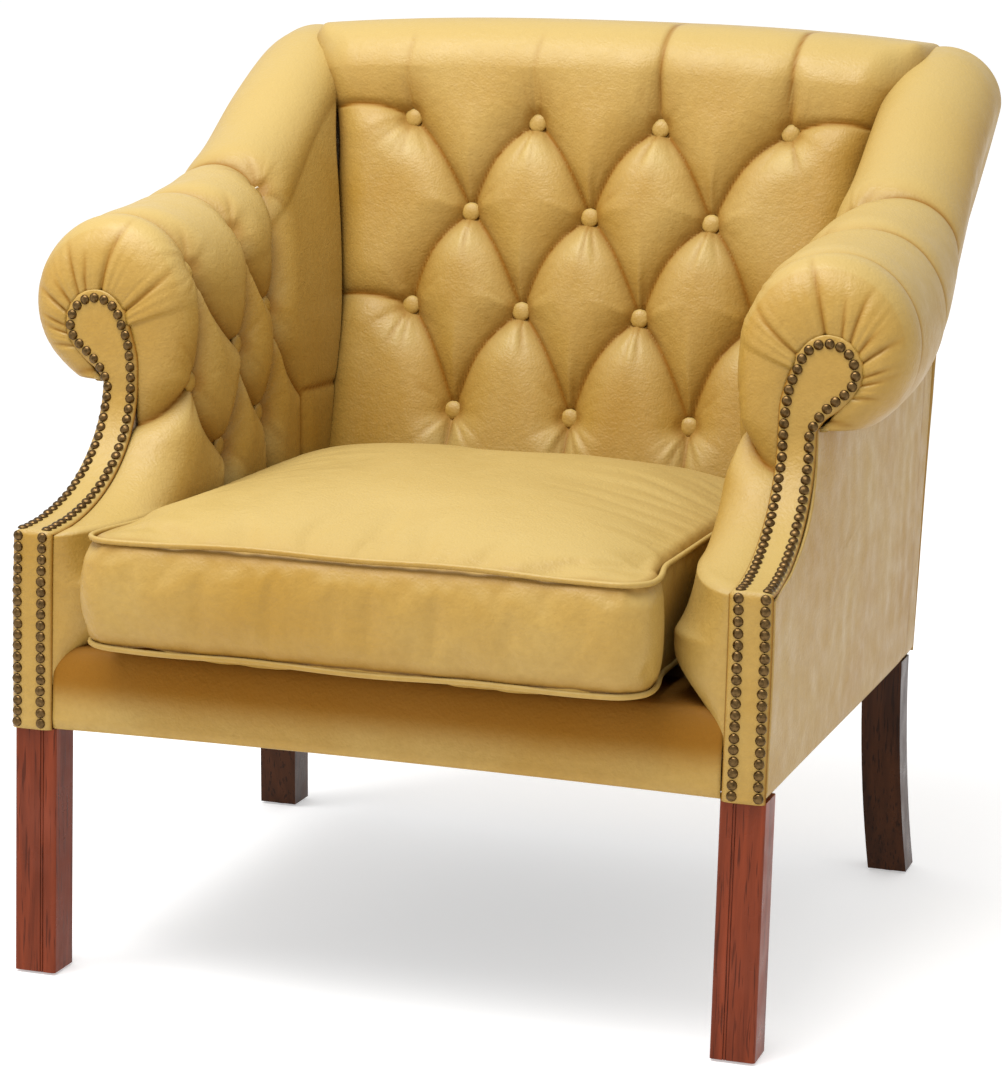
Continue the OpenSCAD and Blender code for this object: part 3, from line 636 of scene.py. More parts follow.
def arm_surface():
    """The arm's leather before it is buttoned, with its working coordinates."""
    v = np.concatenate([np.linspace(0, 1, 118), 1 + np.linspace(0, 2, 88)[1:], 3 + np.linspace(0, 1, 26)[1:],
                        4 + np.linspace(0, 0.3, 5)[1:]])
    cap = np.linspace(0, 1, 27)
    body = np.concatenate([np.linspace(0, 1, 118)[1:], 1 + np.linspace(0, 1, 46)[1:]])
    V = v[:, None]
    edge_z = mix(ARM_FOOT, crest(0.2) - ROLL_R, np.clip(V, 0, 1))
    edge_y = np.where(V < 1, front_edge(edge_z, CAP), SWEEP_Y + CAP)
    ex, ez, eq = arm_profile(edge_y, V)
    gx, gy, gz = arm_seam(V)
    turn = cap[None, :] * math.pi / 2
    swell = 0.006 * np.sin(cap[None, :] * math.pi) * smooth((V - 0.6) / 0.5)
    cap_x = gx + (ex - gx) * np.sin(turn)
    cap_z = gz + (ez - gz) * np.sin(turn)
    cap_y = gy + (edge_y - gy) * (1 - np.cos(turn)) - swell
    cap_a = edge_y - CAP_RUN * (1 - cap[None, :]) + 0 * V
    cap_b = mix(np.where(V < 1, gz, eq), eq, cap[None, :])
    inner_end = crown_y(edge_z) + 0.035
    end = mix(inner_end, rear_y(LEAN_Z) - 0.001, smooth((V - 0.9) / 0.5)) - REAR_ROUND
    split = 0.52
    front_part = np.clip(body, 0, 1)[None, :]
    rear_part = np.clip(body - 1, 0, 1)[None, :]
    y0 = mix(edge_y, split, front_part) + (end - split) * rear_part
    bx, bz, bq = arm_profile(y0, V + np.zeros(y0.shape))
    by = y0 + station_lean(y0) * (bz - LEAN_Z)
    # the leather turns over the wing's rear edge and runs in behind the outside back
    x_end, y_end, z_end = bx[:, -1:], by[:, -1:], bz[:, -1:]
    rise = np.hypot(np.gradient(x_end, axis=0), np.gradient(z_end, axis=0))
    in_x, in_z = np.gradient(z_end, axis=0) / rise, -np.gradient(x_end, axis=0) / rise
    quarter = np.linspace(0, math.pi / 2, 7)[1:]
    inset = np.concatenate([REAR_ROUND * (1 - np.cos(quarter)), np.linspace(REAR_ROUND, REAR_INSET, 5)[1:]])
    reach = np.concatenate([REAR_ROUND * np.sin(quarter), np.full(4, REAR_ROUND)])
    inset, reach = inset[None, :], reach[None, :]
    tx, tz = x_end + inset * in_x, z_end + inset * in_z
    ty = y_end + reach + REAR_LEAN * (tz - z_end)
    points = np.stack([np.concatenate([cap_x, bx, tx], 1), np.concatenate([cap_y + 0 * cap_x, by, ty], 1),
                       np.concatenate([cap_z, bz, tz], 1)], axis=2)
    a = np.concatenate([cap_a, y0, y0[:, -1:] + reach + inset], 1)
    b = np.concatenate([cap_b, bq, bq[:, -1:] + 0 * inset], 1)
    u = np.concatenate([cap[None, :] + 0 * V, 1 + body[None, :] + 0 * V, 3 + 0 * inset + 0 * V], 1)
    return points, a, b, V + 0 * a, u


def arm_button_places():
    """Working coordinates of each arm button, and the v where it sits."""
    places = {}
    v = np.linspace(0, 2.2, 900)
    for key, (y, z, x) in ARM_BUTTONS.items():
        px, pz, q = arm_profile(np.full_like(v, y), v)
        k = int(np.argmin((px - x) ** 2 + (pz - z) ** 2))
        places[key] = (y, float(q[k]), float(v[k]))
    return places


def arm_folds(tufts):
    """The folds of the inside arm, the seams over the roll and the pleats round the facing."""
    at = {key: place[:2] for key, place in arm_button_places().items()}
    pit, mid = 0.88 * tufts.depth, 1.10 * tufts.fold
    folds = [Fold(at[a], at[b], (pit, mid, pit), 0.040, bow) for a, b, bow in (
        ("A1", "B1", 0.011), ("A2", "B1", -0.015), ("A2", "B2", 0.009), ("A3", "B2", -0.016),
        ("A3", "B3", 0.008), ("B1", "C1", 0.008), ("B2", "C1", -0.015), ("B2", "C2", 0.008),
        ("B3", "C2", -0.016))]
    folds.append(Fold(at["B1"], (0.497, 0.500), (pit, 0.9 * mid, 0.007), 0.036, -0.012))
    folds.append(Fold((0.497, 0.500), (0.500, 0.36), (0.007, 0.006, 0.005), 0.030))
    folds.append(Fold((0.500, 0.505), (0.600, 0.503), (0.002, 0.002, 0.002), 0.020, 0.0, 0.0016))
    folds.append(Fold(at["B3"], (0.150, 0.5055), (pit, mid, 0.006), 0.030, 0.004))
    folds.append(Fold(at["C1"], (0.420, 0.36), (pit, mid, 0.004), 0.030))
    folds.append(Fold(at["C2"], (0.285, 0.36), (pit, mid, 0.004), 0.030))
    for key, station in (("A1", 0.520), ("A2", 0.376), ("A3", 0.232)):
        start = at[key]
        last = (station, crest(station) - ROLL_R + math.pi * ROLL_R + 0.060)
        folds.append(Fold(start, last, (pit, 0.0030, 0.0004), 0.034, 0.0, 0.0019))
    return folds, [place[:2] for place in at.values()], pit


# each pleat round the head of the facing: its place over the roll, its length and its depth
HEAD_PLEATS = ((0.32, 0.80, 0.0026), (0.88, 0.95, 0.0030), (1.22, 0.45, 0.0015), (1.42, 0.70, 0.0024),
               (1.66, 0.40, 0.0012), (1.82, 0.72, 0.0024), (2.04, 0.50, 0.0015), (2.20, 0.62, 0.0020),
               (2.56, 0.50, 0.0018), (2.92, 0.55, 0.0020), (3.28, 0.45, 0.0016))


def head_gathers(points, normal, v, u, marks):
    """Leather gathered round the head of the facing: a few sharp pleats with fine wrinkles between them."""
    depth = np.zeros(v.shape)
    width = 0.0030 + 0.006 * u
    run = 0.036 * math.pi / 2 + 0.035 * u
    for place, length, deep in HEAD_PLEATS:
        d = np.abs(v - 1 - place + 0.04 * np.sin(3 * u + place * 5)) * run
        fade = 1 - smooth((u - 0.25 * length) / (0.75 * length))
        depth = depth + deep * fade * (np.exp(-((d / 0.0015) ** 1.3)) + 0.30 * np.exp(-((d / width) ** 2)))
        # Painted shade along each pleat.
        line = 0.75 * fade * np.exp(-((d / 0.0015) ** 1.4)) * (u < 1.0)
        marks["painted_shade"] = np.maximum(marks["painted_shade"], line)
    ripple = np.sin(v * 47 + 2 * np.sin(v * 9)) * np.sin(v * 29 + 1.3)
    near = smooth((v - 0.85) / 0.2) * (1 - smooth((v - 3.7) / 0.3))
    near = near * np.exp(-((u / 0.5) ** 2)) * smooth(u / 0.06)
    depth = depth + 0.0012 * np.clip(ripple, 0, 1) * near
    gathered = smooth((v - 0.95) / 0.1) * (1 - smooth((v - 4.0) / 0.1)) * (u < 1.0)
    return points - normal * (depth * gathered)[..., None]


def make_arm(side_name, side):
    """The leather over one arm, its roll and its wing, with its tufts and pleats."""
    tufts = settings().tufts
    points, a, b, v, u = arm_surface()
    normal = normals_of(points)
    folds, buttons, pit = arm_folds(tufts)
    points, marks = creased(points, normal, a, b, buttons, folds, pit, 11)
    points = head_gathers(points, normal, v, u, marks)
    # Painted highlight along the top of the roll.
    marks["stretch_and_highlight"] = np.maximum(marks["stretch_and_highlight"], 0.5 * np.exp(-(((v - 2.0) / 0.8) ** 2)) * (u > 0.6))
    obj = sheet(f"arm_leather_{side_name}", points, marks, side)
    thicken(obj, settings().leather.thickness)
    finish(obj, leather(), "chair",
           [f"arm_cover_{side_name}", f"arm_roll_pad_{side_name}", f"inside_arm_pad_{side_name}"])


# ---- inside back ----
BACK_ROWS = ((0.792, (-0.2097, -0.0684, 0.0684, 0.2097)), (0.695, (-0.1334, 0.0, 0.1334)),
             (0.593, (-0.1906, -0.0657, 0.0657, 0.1906)), (0.485, (-0.131, 0.0, 0.131)))
BACK_BUTTONS = [(x, z) for z, row in BACK_ROWS for x in row]
ROLL_START = 0.812               # where the flat of the back turns into its top roll
BACK_TUCK = 0.010                # how far the back's leather runs in behind the arms


def back_line():
    """The middle section of the inside back, from behind the cushion over the top to the outside back, as
    (Y, Z, developed height) arrays, evenly stepped in each stretch."""
    low = np.linspace(0.33, ROLL_START, 172)
    front = np.radians(np.linspace(168, 90, 30))
    rear = np.radians(np.linspace(90, -50, 20))
    y = np.concatenate([crown_y(low), 0.730 + 0.066 * np.cos(front), 0.774 + 0.022 * np.cos(rear)])
    z = np.concatenate([low, 0.831 + 0.066 * np.sin(front), 0.875 + 0.022 * np.sin(rear)])
    step = np.hypot(np.diff(y), np.diff(z))
    run = np.concatenate([[0], np.cumsum(step)])
    at_start = run[len(low) - 1]
    l = np.where(np.arange(len(y)) < len(low), z, ROLL_START + run - at_start)
    return y, z, l


def back_half(l):
    """Half of the back's width between the arms at the developed height l."""
    return curve(l, (0.33, 0.45, 0.52, 0.59, 0.65, 0.716, 0.79, 0.812, 0.86, 0.90, 0.95, 1.04),
                 (0.268, 0.270, 0.2695, 0.267, 0.272, 0.280, 0.290, 0.298, 0.313, 0.328, 0.343, 0.350))


def back_folds(tufts):
    """The diamonds of the inside back, the pleats over its top roll and those behind the cushion."""
    pit, mid = tufts.depth, tufts.fold
    r1, r2, r3, r4 = [[(x, z) for x in row] for z, row in BACK_ROWS]
    folds = []

    def down(upper, lower):
        leftward = lower[0] < upper[0]
        bow = -0.012 if leftward else 0.007
        folds.append(Fold(upper, lower, (pit, mid, pit), 0.046, bow, lip=1 if not leftward else -1))

    for upper, lower in ((r1, r2), (r2, r3), (r3, r4)):
        for a in upper:
            for b in lower:
                if abs(a[0] - b[0]) < 0.09:
                    down(a, b)
    for sign, top, middle in ((-1, r1[0], r3[0]), (1, r1[3], r3[3])):
        folds.append(Fold(top, (sign * 0.300, 0.800), (pit, 0.009, 0.006), 0.038, sign * 0.007))
        folds.append(Fold(middle, (sign * 0.272, 0.600), (pit, 0.009, 0.006), 0.038, sign * 0.004))
    for x, strength in zip((-0.2097, -0.0684, 0.0684, 0.2097), (0.25, 0.25, 0.9, 0.9)):
        folds.append(Fold((x, 0.792), (x * 1.03 + 0.004, mix(0.87, 0.985, strength)),
                          (pit, 0.0022 * strength, 0.0003 * strength), 0.034, 0.004, 0.0016 * strength))
    for x, z in r4:
        folds.append(Fold((x, z), (x * 1.02, 0.36), (pit, 0.007, 0.004), 0.030, 0.0, 0.0014))
    return folds


def make_back():
    """The leather of the inside back and its top roll, with its tufts and pleats."""
    tufts = settings().tufts
    y, z, l = back_line()
    u = np.linspace(-1, 1, 219)[None, :]
    u = u * (1 - 0.06 * (1 - u ** 2))
    half = back_half(l)[:, None] + BACK_TUCK
    x = u * half
    L = l[:, None] + 0 * x
    drop = 0.012 * (np.abs(x) / 0.33) ** 2.6 * smooth((z[:, None] - 0.80) / 0.07)
    points = np.stack([x, y[:, None] + 0 * x, z[:, None] - drop], axis=2)
    n = -normals_of(points)
    points, marks = creased(points, n, x, L, BACK_BUTTONS, back_folds(tufts), tufts.depth, 5)
    edge = half - np.abs(x)
    on_roll = smooth((L - 0.83) / 0.05)
    rim = (1 - np.clip(edge / 0.044, 0, 1)) ** mix(2.4, 1.9, on_roll)
    over = smooth((L - 0.885) / 0.040)
    sink = mix(rim * mix(0.024, 0.026, on_roll), 0.021 * (1 - np.clip(edge / 0.018, 0, 1)) ** 2, over)
    points = points - n * sink[..., None]
    # Painted shade where the back's leather runs in beside the arms, darkest at its edges and less on the top
    # roll.
    dark = (1 - np.clip(edge / 0.024, 0, 1)) ** 2 * mix(0.75, 0.35, on_roll)
    marks["painted_shade"] = np.maximum(marks["painted_shade"], dark)
    # Painted highlight across the top of the roll.
    marks["stretch_and_highlight"] = np.maximum(marks["stretch_and_highlight"], 0.55 * np.exp(-(((L - 0.90) / 0.05) ** 2)))
    obj = sheet("back_leather", points, marks, turned=True)
    thicken(obj, settings().leather.thickness)
    finish(obj, leather(), "chair", ["back_cover", "back_pad"])


# ---- outside panels ----
def make_outside_arm(side_name, side):
    """The flat outside of the arm, with a faint upright seam near the rear and slack upright ripples."""
    rows = np.linspace(0, 1, 60)[:, None]
    columns = np.linspace(0, 1, 120)[None, :]
    z_top = mix(0.552, 0.590, smooth((columns - 0.3) / 0.5))
    z = mix(SKIRT + 0.0005, z_top, rows)
    y_front = front_edge(z, 0.0) - 0.002
    y_rear = rear_y(z) - 0.003
    y = mix(y_front, y_rear, columns)
    x_front = curve(z, (SKIRT, KNEE, 0.46, 0.50, 0.545, 0.60),
                    (0.3606, 0.3600, 0.3585, 0.3562, 0.3538, 0.3545))
    x = mix(x_front, LEG_X + 0.0005, smooth((y - y_front) / 0.07))
    x = x + 0.0045 * smooth(columns / 0.9) * (1 - 0.3 * rows)
    ripple = np.sin(y * 95 + 2.2 * np.sin(y * 21)) * 0.00035 * smooth(rows * 4) * smooth((1 - rows) * 5)
    belly = 0.0022 * np.sin(math.pi * rows) * np.sin(math.pi * columns)
    edge = 0.004 * (1 - smooth(rows / 0.03)) ** 2 + 0.005 * (1 - smooth((1 - columns) / 0.02)) ** 2
    seam = np.exp(-((np.abs(y - (y_rear - 0.052)) / 0.0022) ** 2))
    x = x + ripple + belly - edge - 0.0009 * seam
    points = np.stack([x, y, z + 0 * x], axis=2)
    # Painted shade along the seam's groove and along the top of the panel, under the roll.
    marks = {"painted_shade": 0.45 * seam + 0.35 * (1 - smooth((1 - rows) / 0.06))}
    obj = sheet(f"outside_arm_leather_{side_name}", points, marks, side, turned=True)
    thicken(obj, 0.003)
    finish(obj, leather(), "chair", f"outside_arm_{side_name}")


def make_outside_back():
    """The outside back, one panel closed with a blind seam and slightly bellied between its edges."""
    rows = np.linspace(0, 1, 120)[:, None]
    columns = np.linspace(-1, 1, 150)[None, :]
    top = 0.862
    z = mix(SKIRT + 0.001, top, rows) + 0 * columns
    half = curve(z, (0.24, 0.50, 0.58, 0.62, 0.66, 0.74, 0.80, 0.83, 0.865),
                 (0.3640, 0.3660, 0.3680, 0.3730, 0.3810, 0.3980, 0.4090, 0.4110, 0.3960))
    x = columns * half
    z = z - 0.012 * (np.abs(columns) ** 4) * smooth((rows - 0.9) / 0.1)
    belly = 0.004 * np.cos(math.pi / 2 * columns) * np.sin(math.pi * rows)
    rim = np.minimum(np.minimum((1 - np.abs(columns)) * 0.36, (1 - rows) * 0.62), rows * 0.62)
    fall = 0.007 * (1 - np.clip(rim / 0.010, 0, 1)) ** 2
    y = rear_y(z) + belly - fall
    points = np.stack([x, y, z], axis=2)
    # Painted shade round the edges, where the panel falls away.
    marks = {"painted_shade": 0.2 * (1 - np.clip(rim / 0.004, 0, 1))}
    obj = sheet("outside_back_leather", points, marks)
    thicken(obj, 0.004)
    finish(obj, leather(), "chair", "outside_back")


def make_front_border():
    """The leather over the front rail, rolled over its top edge and turned under at the bottom."""
    half = 0.3195
    line = [(0.012, SKIRT + 0.001), (0.002, SKIRT + 0.0002), (-0.0025, SKIRT + 0.002),
            (-0.004, SKIRT + 0.007)]
    line += [(-0.0045, z) for z in np.linspace(SKIRT + 0.010, 0.274, 18)]
    line += [(0.0140 - 0.0185 * math.cos(t), 0.2755 + (DECK - 0.2752) * math.sin(t)) for t in
             np.linspace(0.05, math.pi / 2, 20)]
    line += [(y, DECK + 0.0003) for y in (0.025, 0.040, 0.080, 0.120)]
    line = np.array(line)
    columns = np.linspace(-1, 1, 180)[None, :]
    x = half * columns + 0 * line[:, :1]
    arch = 0.003 * (1 - columns ** 2)
    z = line[:, 1:] + arch * (1 - smooth((line[:, 1:] - SKIRT) / 0.03))
    ripple = 0.0005 * np.sin(x * 60 + 3 * np.sin(x * 17)) * smooth((z - 0.25) / 0.02)
    y = line[:, :1] + ripple - 0.001 * np.cos(math.pi / 2 * columns)
    points = np.stack([x, y, z], axis=2)
    # Painted shadow along the top of the border, under the cushion's overhang.
    obj = sheet("front_border_leather", points, {"painted_shade": 0.85 * smooth((z - 0.256) / 0.036)}, turned=True)
    thicken(obj, 0.0025)
    finish(obj, leather(), "chair", "front_border")


def make_deck():
    """The platform under the cushion: cloth with a stitch line across it, dished by use."""
    lo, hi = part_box("seat_deck")
    columns = np.linspace(0, 1, 90)[None, :]
    rows = np.linspace(0, 1, 80)[:, None]
    x = mix(lo.x, hi.x, columns) + 0 * rows
    y = mix(lo.y, hi.y, rows) - FRONT + 0 * columns
    dish = 0.006 * np.sin(math.pi * columns) * np.sin(math.pi * rows)
    stitch = 0.0012 * np.exp(-(((y - 0.11) / 0.003) ** 2))
    z = hi.z - 0.001 - dish * 0.5 - stitch
    points = np.stack([x, y, z], axis=2)
    obj = sheet("deck_cloth", points, turned=True)
    thicken(obj, 0.0015)
    cloth = woven("Deck cloth", (0.50, 0.36, 0.17), (0.26, 0.17, 0.07), 0.0012)
    finish(obj, cloth, "chair", "seat_deck")


# ---- facings ----
def facing_path(s):
    """The facing's inner and outer edges in X, and its middle line as Y and Z. s runs from 0 at the skirt
    to 1 at the knee and 2 at the neck."""
    low = np.clip(s, 0, 1)
    turn = np.clip(s - 1, 0, 1) * math.pi / 2
    y = np.where(s < 1, FACING_Y, SWEEP_Y * np.sin(turn) + FACING_Y)
    z = np.where(s < 1, mix(SKIRT, KNEE + 0.002, low), KNEE + 0.002 + (SWEEP_Z + 0.003) * (1 - np.cos(turn)))
    x0 = curve(np.clip(s, 0, 2), (0, 1, 1.5, 2), (0.3205, 0.3200, 0.3178, 0.3168))
    x1 = curve(np.clip(s, 0, 2), (0, 1, 1.5, 2), (0.3605, 0.3598, 0.3560, 0.3535))
    return x0, x1, y, z


def head_edges(t):
    """Inner and outer edge of the head above the neck, t from 0 to 1, as two arrays of (X, Z)."""
    neck_z = KNEE + 0.002 + SWEEP_Z + 0.003     # a little above the pinch
    inner = curve_points(t, ((0.3168, neck_z), (0.3175, 0.570), (0.3235, 0.592), *arc_points(172, 92, 6)))
    outer = curve_points(t, ((0.3535, neck_z), (0.3610, 0.5555), (0.3745, 0.5655), *arc_points(-42, 88, 8)))
    return inner, outer


def arc_points(first, last, count):
    return [(HEAD[0] + HEAD_R * math.cos(math.radians(a)), HEAD[1] + HEAD_R * math.sin(math.radians(a)))
            for a in np.linspace(first, last, count)]


def curve_points(t, points):
    """Points evenly spread along a smooth line through the given points."""
    points = np.array(points, float)
    run = np.concatenate([[0], np.cumsum(np.linalg.norm(np.diff(points, axis=0), axis=1))])
    run = run / run[-1]
    return np.stack([curve(t, run, points[:, k]) for k in range(points.shape[1])], axis=1)


def make_facing(side_name, side):
    """The facing strip, slightly padded, with its edges rolled under."""
    s = np.concatenate([np.linspace(0, 1, 50), 1 + np.linspace(0, 1, 60)[1:]])
    across = np.array([0, 0.02, 0.05, 0.10, 0.2, 0.3, 0.4, 0.5, 0.6, 0.7, 0.8, 0.9, 0.95, 0.98, 1.0])[None, :]
    x0, x1, y, z = [value[:, None] for value in facing_path(s)]
    strip = np.stack([mix(x0, x1, across), y + 0 * across, z + 0 * across], axis=2)
    t = np.linspace(0, 1, 56)[1:]
    inner, outer = head_edges(t)
    hx = mix(inner[:, :1], outer[:, :1], across)
    hz = mix(inner[:, 1:], outer[:, 1:], across)
    head = np.stack([hx, np.full(hx.shape, SWEEP_Y + FACING_Y), hz], axis=2)
    base = np.concatenate([strip, head])
    tangent = np.gradient(base[:, 7], axis=0)
    tangent[len(s):] = (0, 0, 1)
    tangent[:, 0] = 0
    n = np.stack([0 * tangent[:, 0], -tangent[:, 2], tangent[:, 1]], axis=1)
    n = n / np.linalg.norm(n, axis=1, keepdims=True)
    crown = 0.0042 * (1 - np.abs(2 * across - 1) ** 7) - 0.0018
    top_fade = np.concatenate([np.ones(len(s)), np.sqrt(np.clip(1 - t ** 6, 0, 1))])[:, None]
    points = base + n[:, None, :] * (crown * top_fade)[..., None]
    # Painted shade along both edges, where the leather rolls under.
    edge = np.exp(-(((0.5 - np.abs(across - 0.5)) / 0.03) ** 2))
    marks = {"painted_shade": 0.85 * edge + np.zeros(points.shape[:2])}
    obj = sheet(f"facing_leather_{side_name}", points, marks, side, close=True, turned=True)
    thicken(obj, 0.003)
    finish(obj, leather(), "chair", f"arm_facing_{side_name}")


NAIL_SEAT = 0.0021                # how far the facing's leather stands in front of its middle line


def nail_line():
    """The middle line of the nails, up the inner edge, round the head and down the outer edge."""
    s = np.concatenate([np.linspace(0.02, 1, 20), 1 + np.linspace(0, 1, 24)[1:]])
    x0, x1, y, z = facing_path(s)
    inset_in = curve(s, (0, 1, 1.6, 2), (0.0105, 0.0095, 0.0065, 0.0062))
    inset_out = curve(s, (0, 1, 1.6, 2), (0.0062, 0.0062, 0.0062, 0.0062))
    up = np.stack([x0 + inset_in, y, z], axis=1)
    down = np.stack([x1 - inset_out, y, z], axis=1)[::-1]
    head = [(0.3243, 0.568), (0.3275, 0.588)]
    head += [(HEAD[0] + 0.0262 * math.cos(a), HEAD[1] + 0.0262 * math.sin(a)) for a in
             np.radians(np.arange(165, -50, -12))]
    head += [(0.3655, 0.5705), (0.3545, 0.5570)]
    ring = np.array([(x, SWEEP_Y + FACING_Y, z) for x, z in head])
    return np.concatenate([up, ring, down])


def make_nails(side_name, side):
    """The nails round the edges of one facing, a dome for each."""
    nails = settings().nails
    line = nail_line()
    run = np.concatenate([[0], np.cumsum(np.linalg.norm(np.diff(line, axis=0), axis=1))])
    count = int(run[-1] / nails.pitch)
    places = np.linspace(0.002, run[-1] - 0.002, count)
    centre = np.stack([np.interp(places, run, line[:, k]) for k in range(3)], axis=1)
    ahead = np.stack([np.interp(places + 0.002, run, line[:, k]) for k in range(3)], axis=1)
    behind = np.stack([np.interp(places - 0.002, run, line[:, k]) for k in range(3)], axis=1)
    rng = np.random.default_rng(21)
    bm = bmesh.new()
    for p, q, o in zip(centre, ahead, behind):
        d = q - o
        slope = math.atan2(abs(d[1]), abs(d[2])) if p[2] < 0.545 else 0.0
        p = p + NAIL_SEAT * np.array([0, -math.cos(slope), math.sin(slope)])
        tilt = rng.normal(0, 0.05, 2)
        turn = Matrix.Rotation(math.pi / 2 - slope + tilt[0], 4, "X") @ Matrix.Rotation(tilt[1], 4, "Y")
        place = Matrix.Translation((p[0] + rng.normal(0, 0.0002), p[1] + FRONT, p[2] + rng.normal(0, 0.0002)))
        dome(bm, nails.diameter / 2, 0.0031, place @ turn)
    if side < 0:
        bmesh.ops.scale(bm, vec=(-1, 1, 1), verts=bm.verts)
        bmesh.ops.reverse_faces(bm, faces=bm.faces)
    obj = from_bmesh(f"nails_{side_name}", bm)
    finish(obj, brass(), "chair", f"facing_nails_{side_name}")


def brass():
    """Aged brass, dark in patches."""
    if "Aged brass" in bpy.data.materials:
        return bpy.data.materials["Aged brass"]
    colour = tuple(settings().nails.colour)
    return metal("Aged brass", colour, 0.24, 0.44, shade(colour, 0.35))


def dome(bm, radius, height, place):
    """A low nail head: a disc extruded into a rolled rim and two rings of a dome, closed below."""
    made = bmesh.ops.create_circle(bm, cap_ends=True, segments=12, radius=radius * 0.97, matrix=place)
    face = made["verts"][0].link_faces[0]
    rings = ((0.16, 1.0), (0.52, 0.86), (0.84, 0.56), (0.98, 0.22))    # height and width of each ring
    at, size = 0.0, 0.97
    for rise, wide in rings:
        face = bmesh.ops.extrude_discrete_faces(bm, faces=[face])["faces"][0]
        scale = wide / size
        up = (place.to_3x3() @ Vector((0, 0, 1))) * (rise - at) * height
        centre = face.calc_center_median()
        bmesh.ops.scale(bm, vec=(scale,) * 3, space=Matrix.Translation(-centre), verts=face.verts)
        bmesh.ops.translate(bm, vec=up, verts=face.verts)
        at, size = rise, wide


def from_bmesh(name, bm):
    """An object from a bmesh, with its faces turned outwards."""
    bmesh.ops.recalc_face_normals(bm, faces=bm.faces)
    mesh = bpy.data.meshes.new(name)
    bm.to_mesh(mesh)
    bm.free()
    return bpy.data.objects.new(name, mesh)


# ---- buttons ----
def covered_button(bm, radius, place, seed):
    """A leather-covered button: a domed cap gathered under its rim."""
    made = bmesh.ops.create_uvsphere(bm, u_segments=28, v_segments=14, radius=radius)
    rng = np.random.default_rng(seed)
    phase = rng.uniform(0, 6.3, 3)
    for vert in made["verts"]:
        x, y, z = vert.co
        r = math.hypot(x, y) / radius
        angle = math.atan2(y, x)
        gather = 0.02 * math.sin(11 * angle + phase[0]) * max(0.0, r - 0.7) / 0.3
        vert.co.x *= 1 + gather
        vert.co.y *= 1 + gather
        vert.co.z = z * 0.40 + 0.02 * radius * math.sin(2 * angle + phase[1]) * r
    bmesh.ops.transform(bm, matrix=place, verts=made["verts"])


def make_back_buttons():
    """The covered buttons of the inside back, square to its lean."""
    tufts = settings().tufts
    bm = bmesh.new()
    outward = Vector((0, -1, BACK_LEAN)).normalized()
    turn = outward.to_track_quat("Z", "Y").to_matrix().to_4x4()
    for k, (x, z) in enumerate(BACK_BUTTONS):
        base = Vector((x, crown_y(z) + FRONT, z)) - outward * (tufts.depth - 0.0030)
        covered_button(bm, tufts.button / 2, Matrix.Translation(base) @ turn, 40 + k)
    obj = from_bmesh("back_button_caps", bm)
    finish(obj, leather(), "chair", "back_buttons")


def make_arm_buttons(side_name, side):
    """The covered buttons of one inside arm, square to the leather round them."""
    tufts = settings().tufts
    bm = bmesh.new()
    for k, (y, _, v) in enumerate(arm_button_places().values()):
        x, z, _ = arm_profile(np.array([y]), np.array([v]))
        x1, z1, _ = arm_profile(np.array([y]), np.array([v + 0.02]))
        up = np.array([x1[0] - x[0], 0, z1[0] - z[0]])
        outward = Vector((-up[2], 0, up[0])).normalized()
        base = Vector((x[0], y + FRONT, z[0])) - outward * (0.88 * tufts.depth - 0.0028)
        turn = outward.to_track_quat("Z", "Y").to_matrix().to_4x4()
        covered_button(bm, tufts.button / 2, Matrix.Translation(base) @ turn, 70 + k)
    if side < 0:
        bmesh.ops.scale(bm, vec=(-1, 1, 1), verts=bm.verts)
    obj = from_bmesh(f"arm_button_caps_{side_name}", bm)
    finish(obj, leather(), "chair", f"arm_buttons_{side_name}")


# ---- cushion ----
CUSHION_SHIFT = -0.004           # the loose cushion sits a little off the middle
PIPE_LOW, PIPE_HIGH = 0.337, 0.434
CROWN = 0.466
CUSHION_FRONT, CUSHION_REAR = -0.058, 0.530
EAR_X, BODY_X = 0.2645, 0.2535


def cushion_outline(grow, count=240):
    """The cushion's outline in X and Y, evenly stepped: eared in front of the arms, narrower between them."""
    def arc(cx, cy, r, a0, a1, n):
        return [(cx + (r + grow) * math.cos(math.radians(a)), cy + (r + grow) * math.sin(math.radians(a)))
                for a in np.linspace(a0, a1, n)]
    side = [(BODY_X + (EAR_X - BODY_X) * (1 - float(smooth((y + 0.02) / 0.08))) + grow, y)
            for y in np.linspace(-0.015, 0.08, 9)]
    right = [(0, CUSHION_FRONT - grow), *arc(EAR_X - 0.030, CUSHION_FRONT + 0.030, 0.030, -90, 0, 8), *side,
             *arc(BODY_X - 0.020, CUSHION_REAR - 0.020, 0.020, 0, 90, 6), (0, CUSHION_REAR + grow)]
    line = np.array(right + [(-x, y) for x, y in right[-2:0:-1]] + [right[0]])
    run = np.concatenate([[0], np.cumsum(np.linalg.norm(np.diff(line, axis=0), axis=1))])
    at = np.linspace(0, run[-1], count, endpoint=False)
    return np.stack([np.interp(at, run, line[:, k]) for k in range(2)], axis=1)


def seam_height(x, y, base):
    """The piping isn't dead level: it lifts a little in the middle of the front and dips at the ears."""
    front = 1 - smooth((y + 0.05) / 0.2)
    lift = 0.0035 if base > 0.4 else -0.002
    return base + lift * front * (1 - (x / 0.27) ** 2) - 0.001 * np.sin(x * 31 + 4 * base) * front


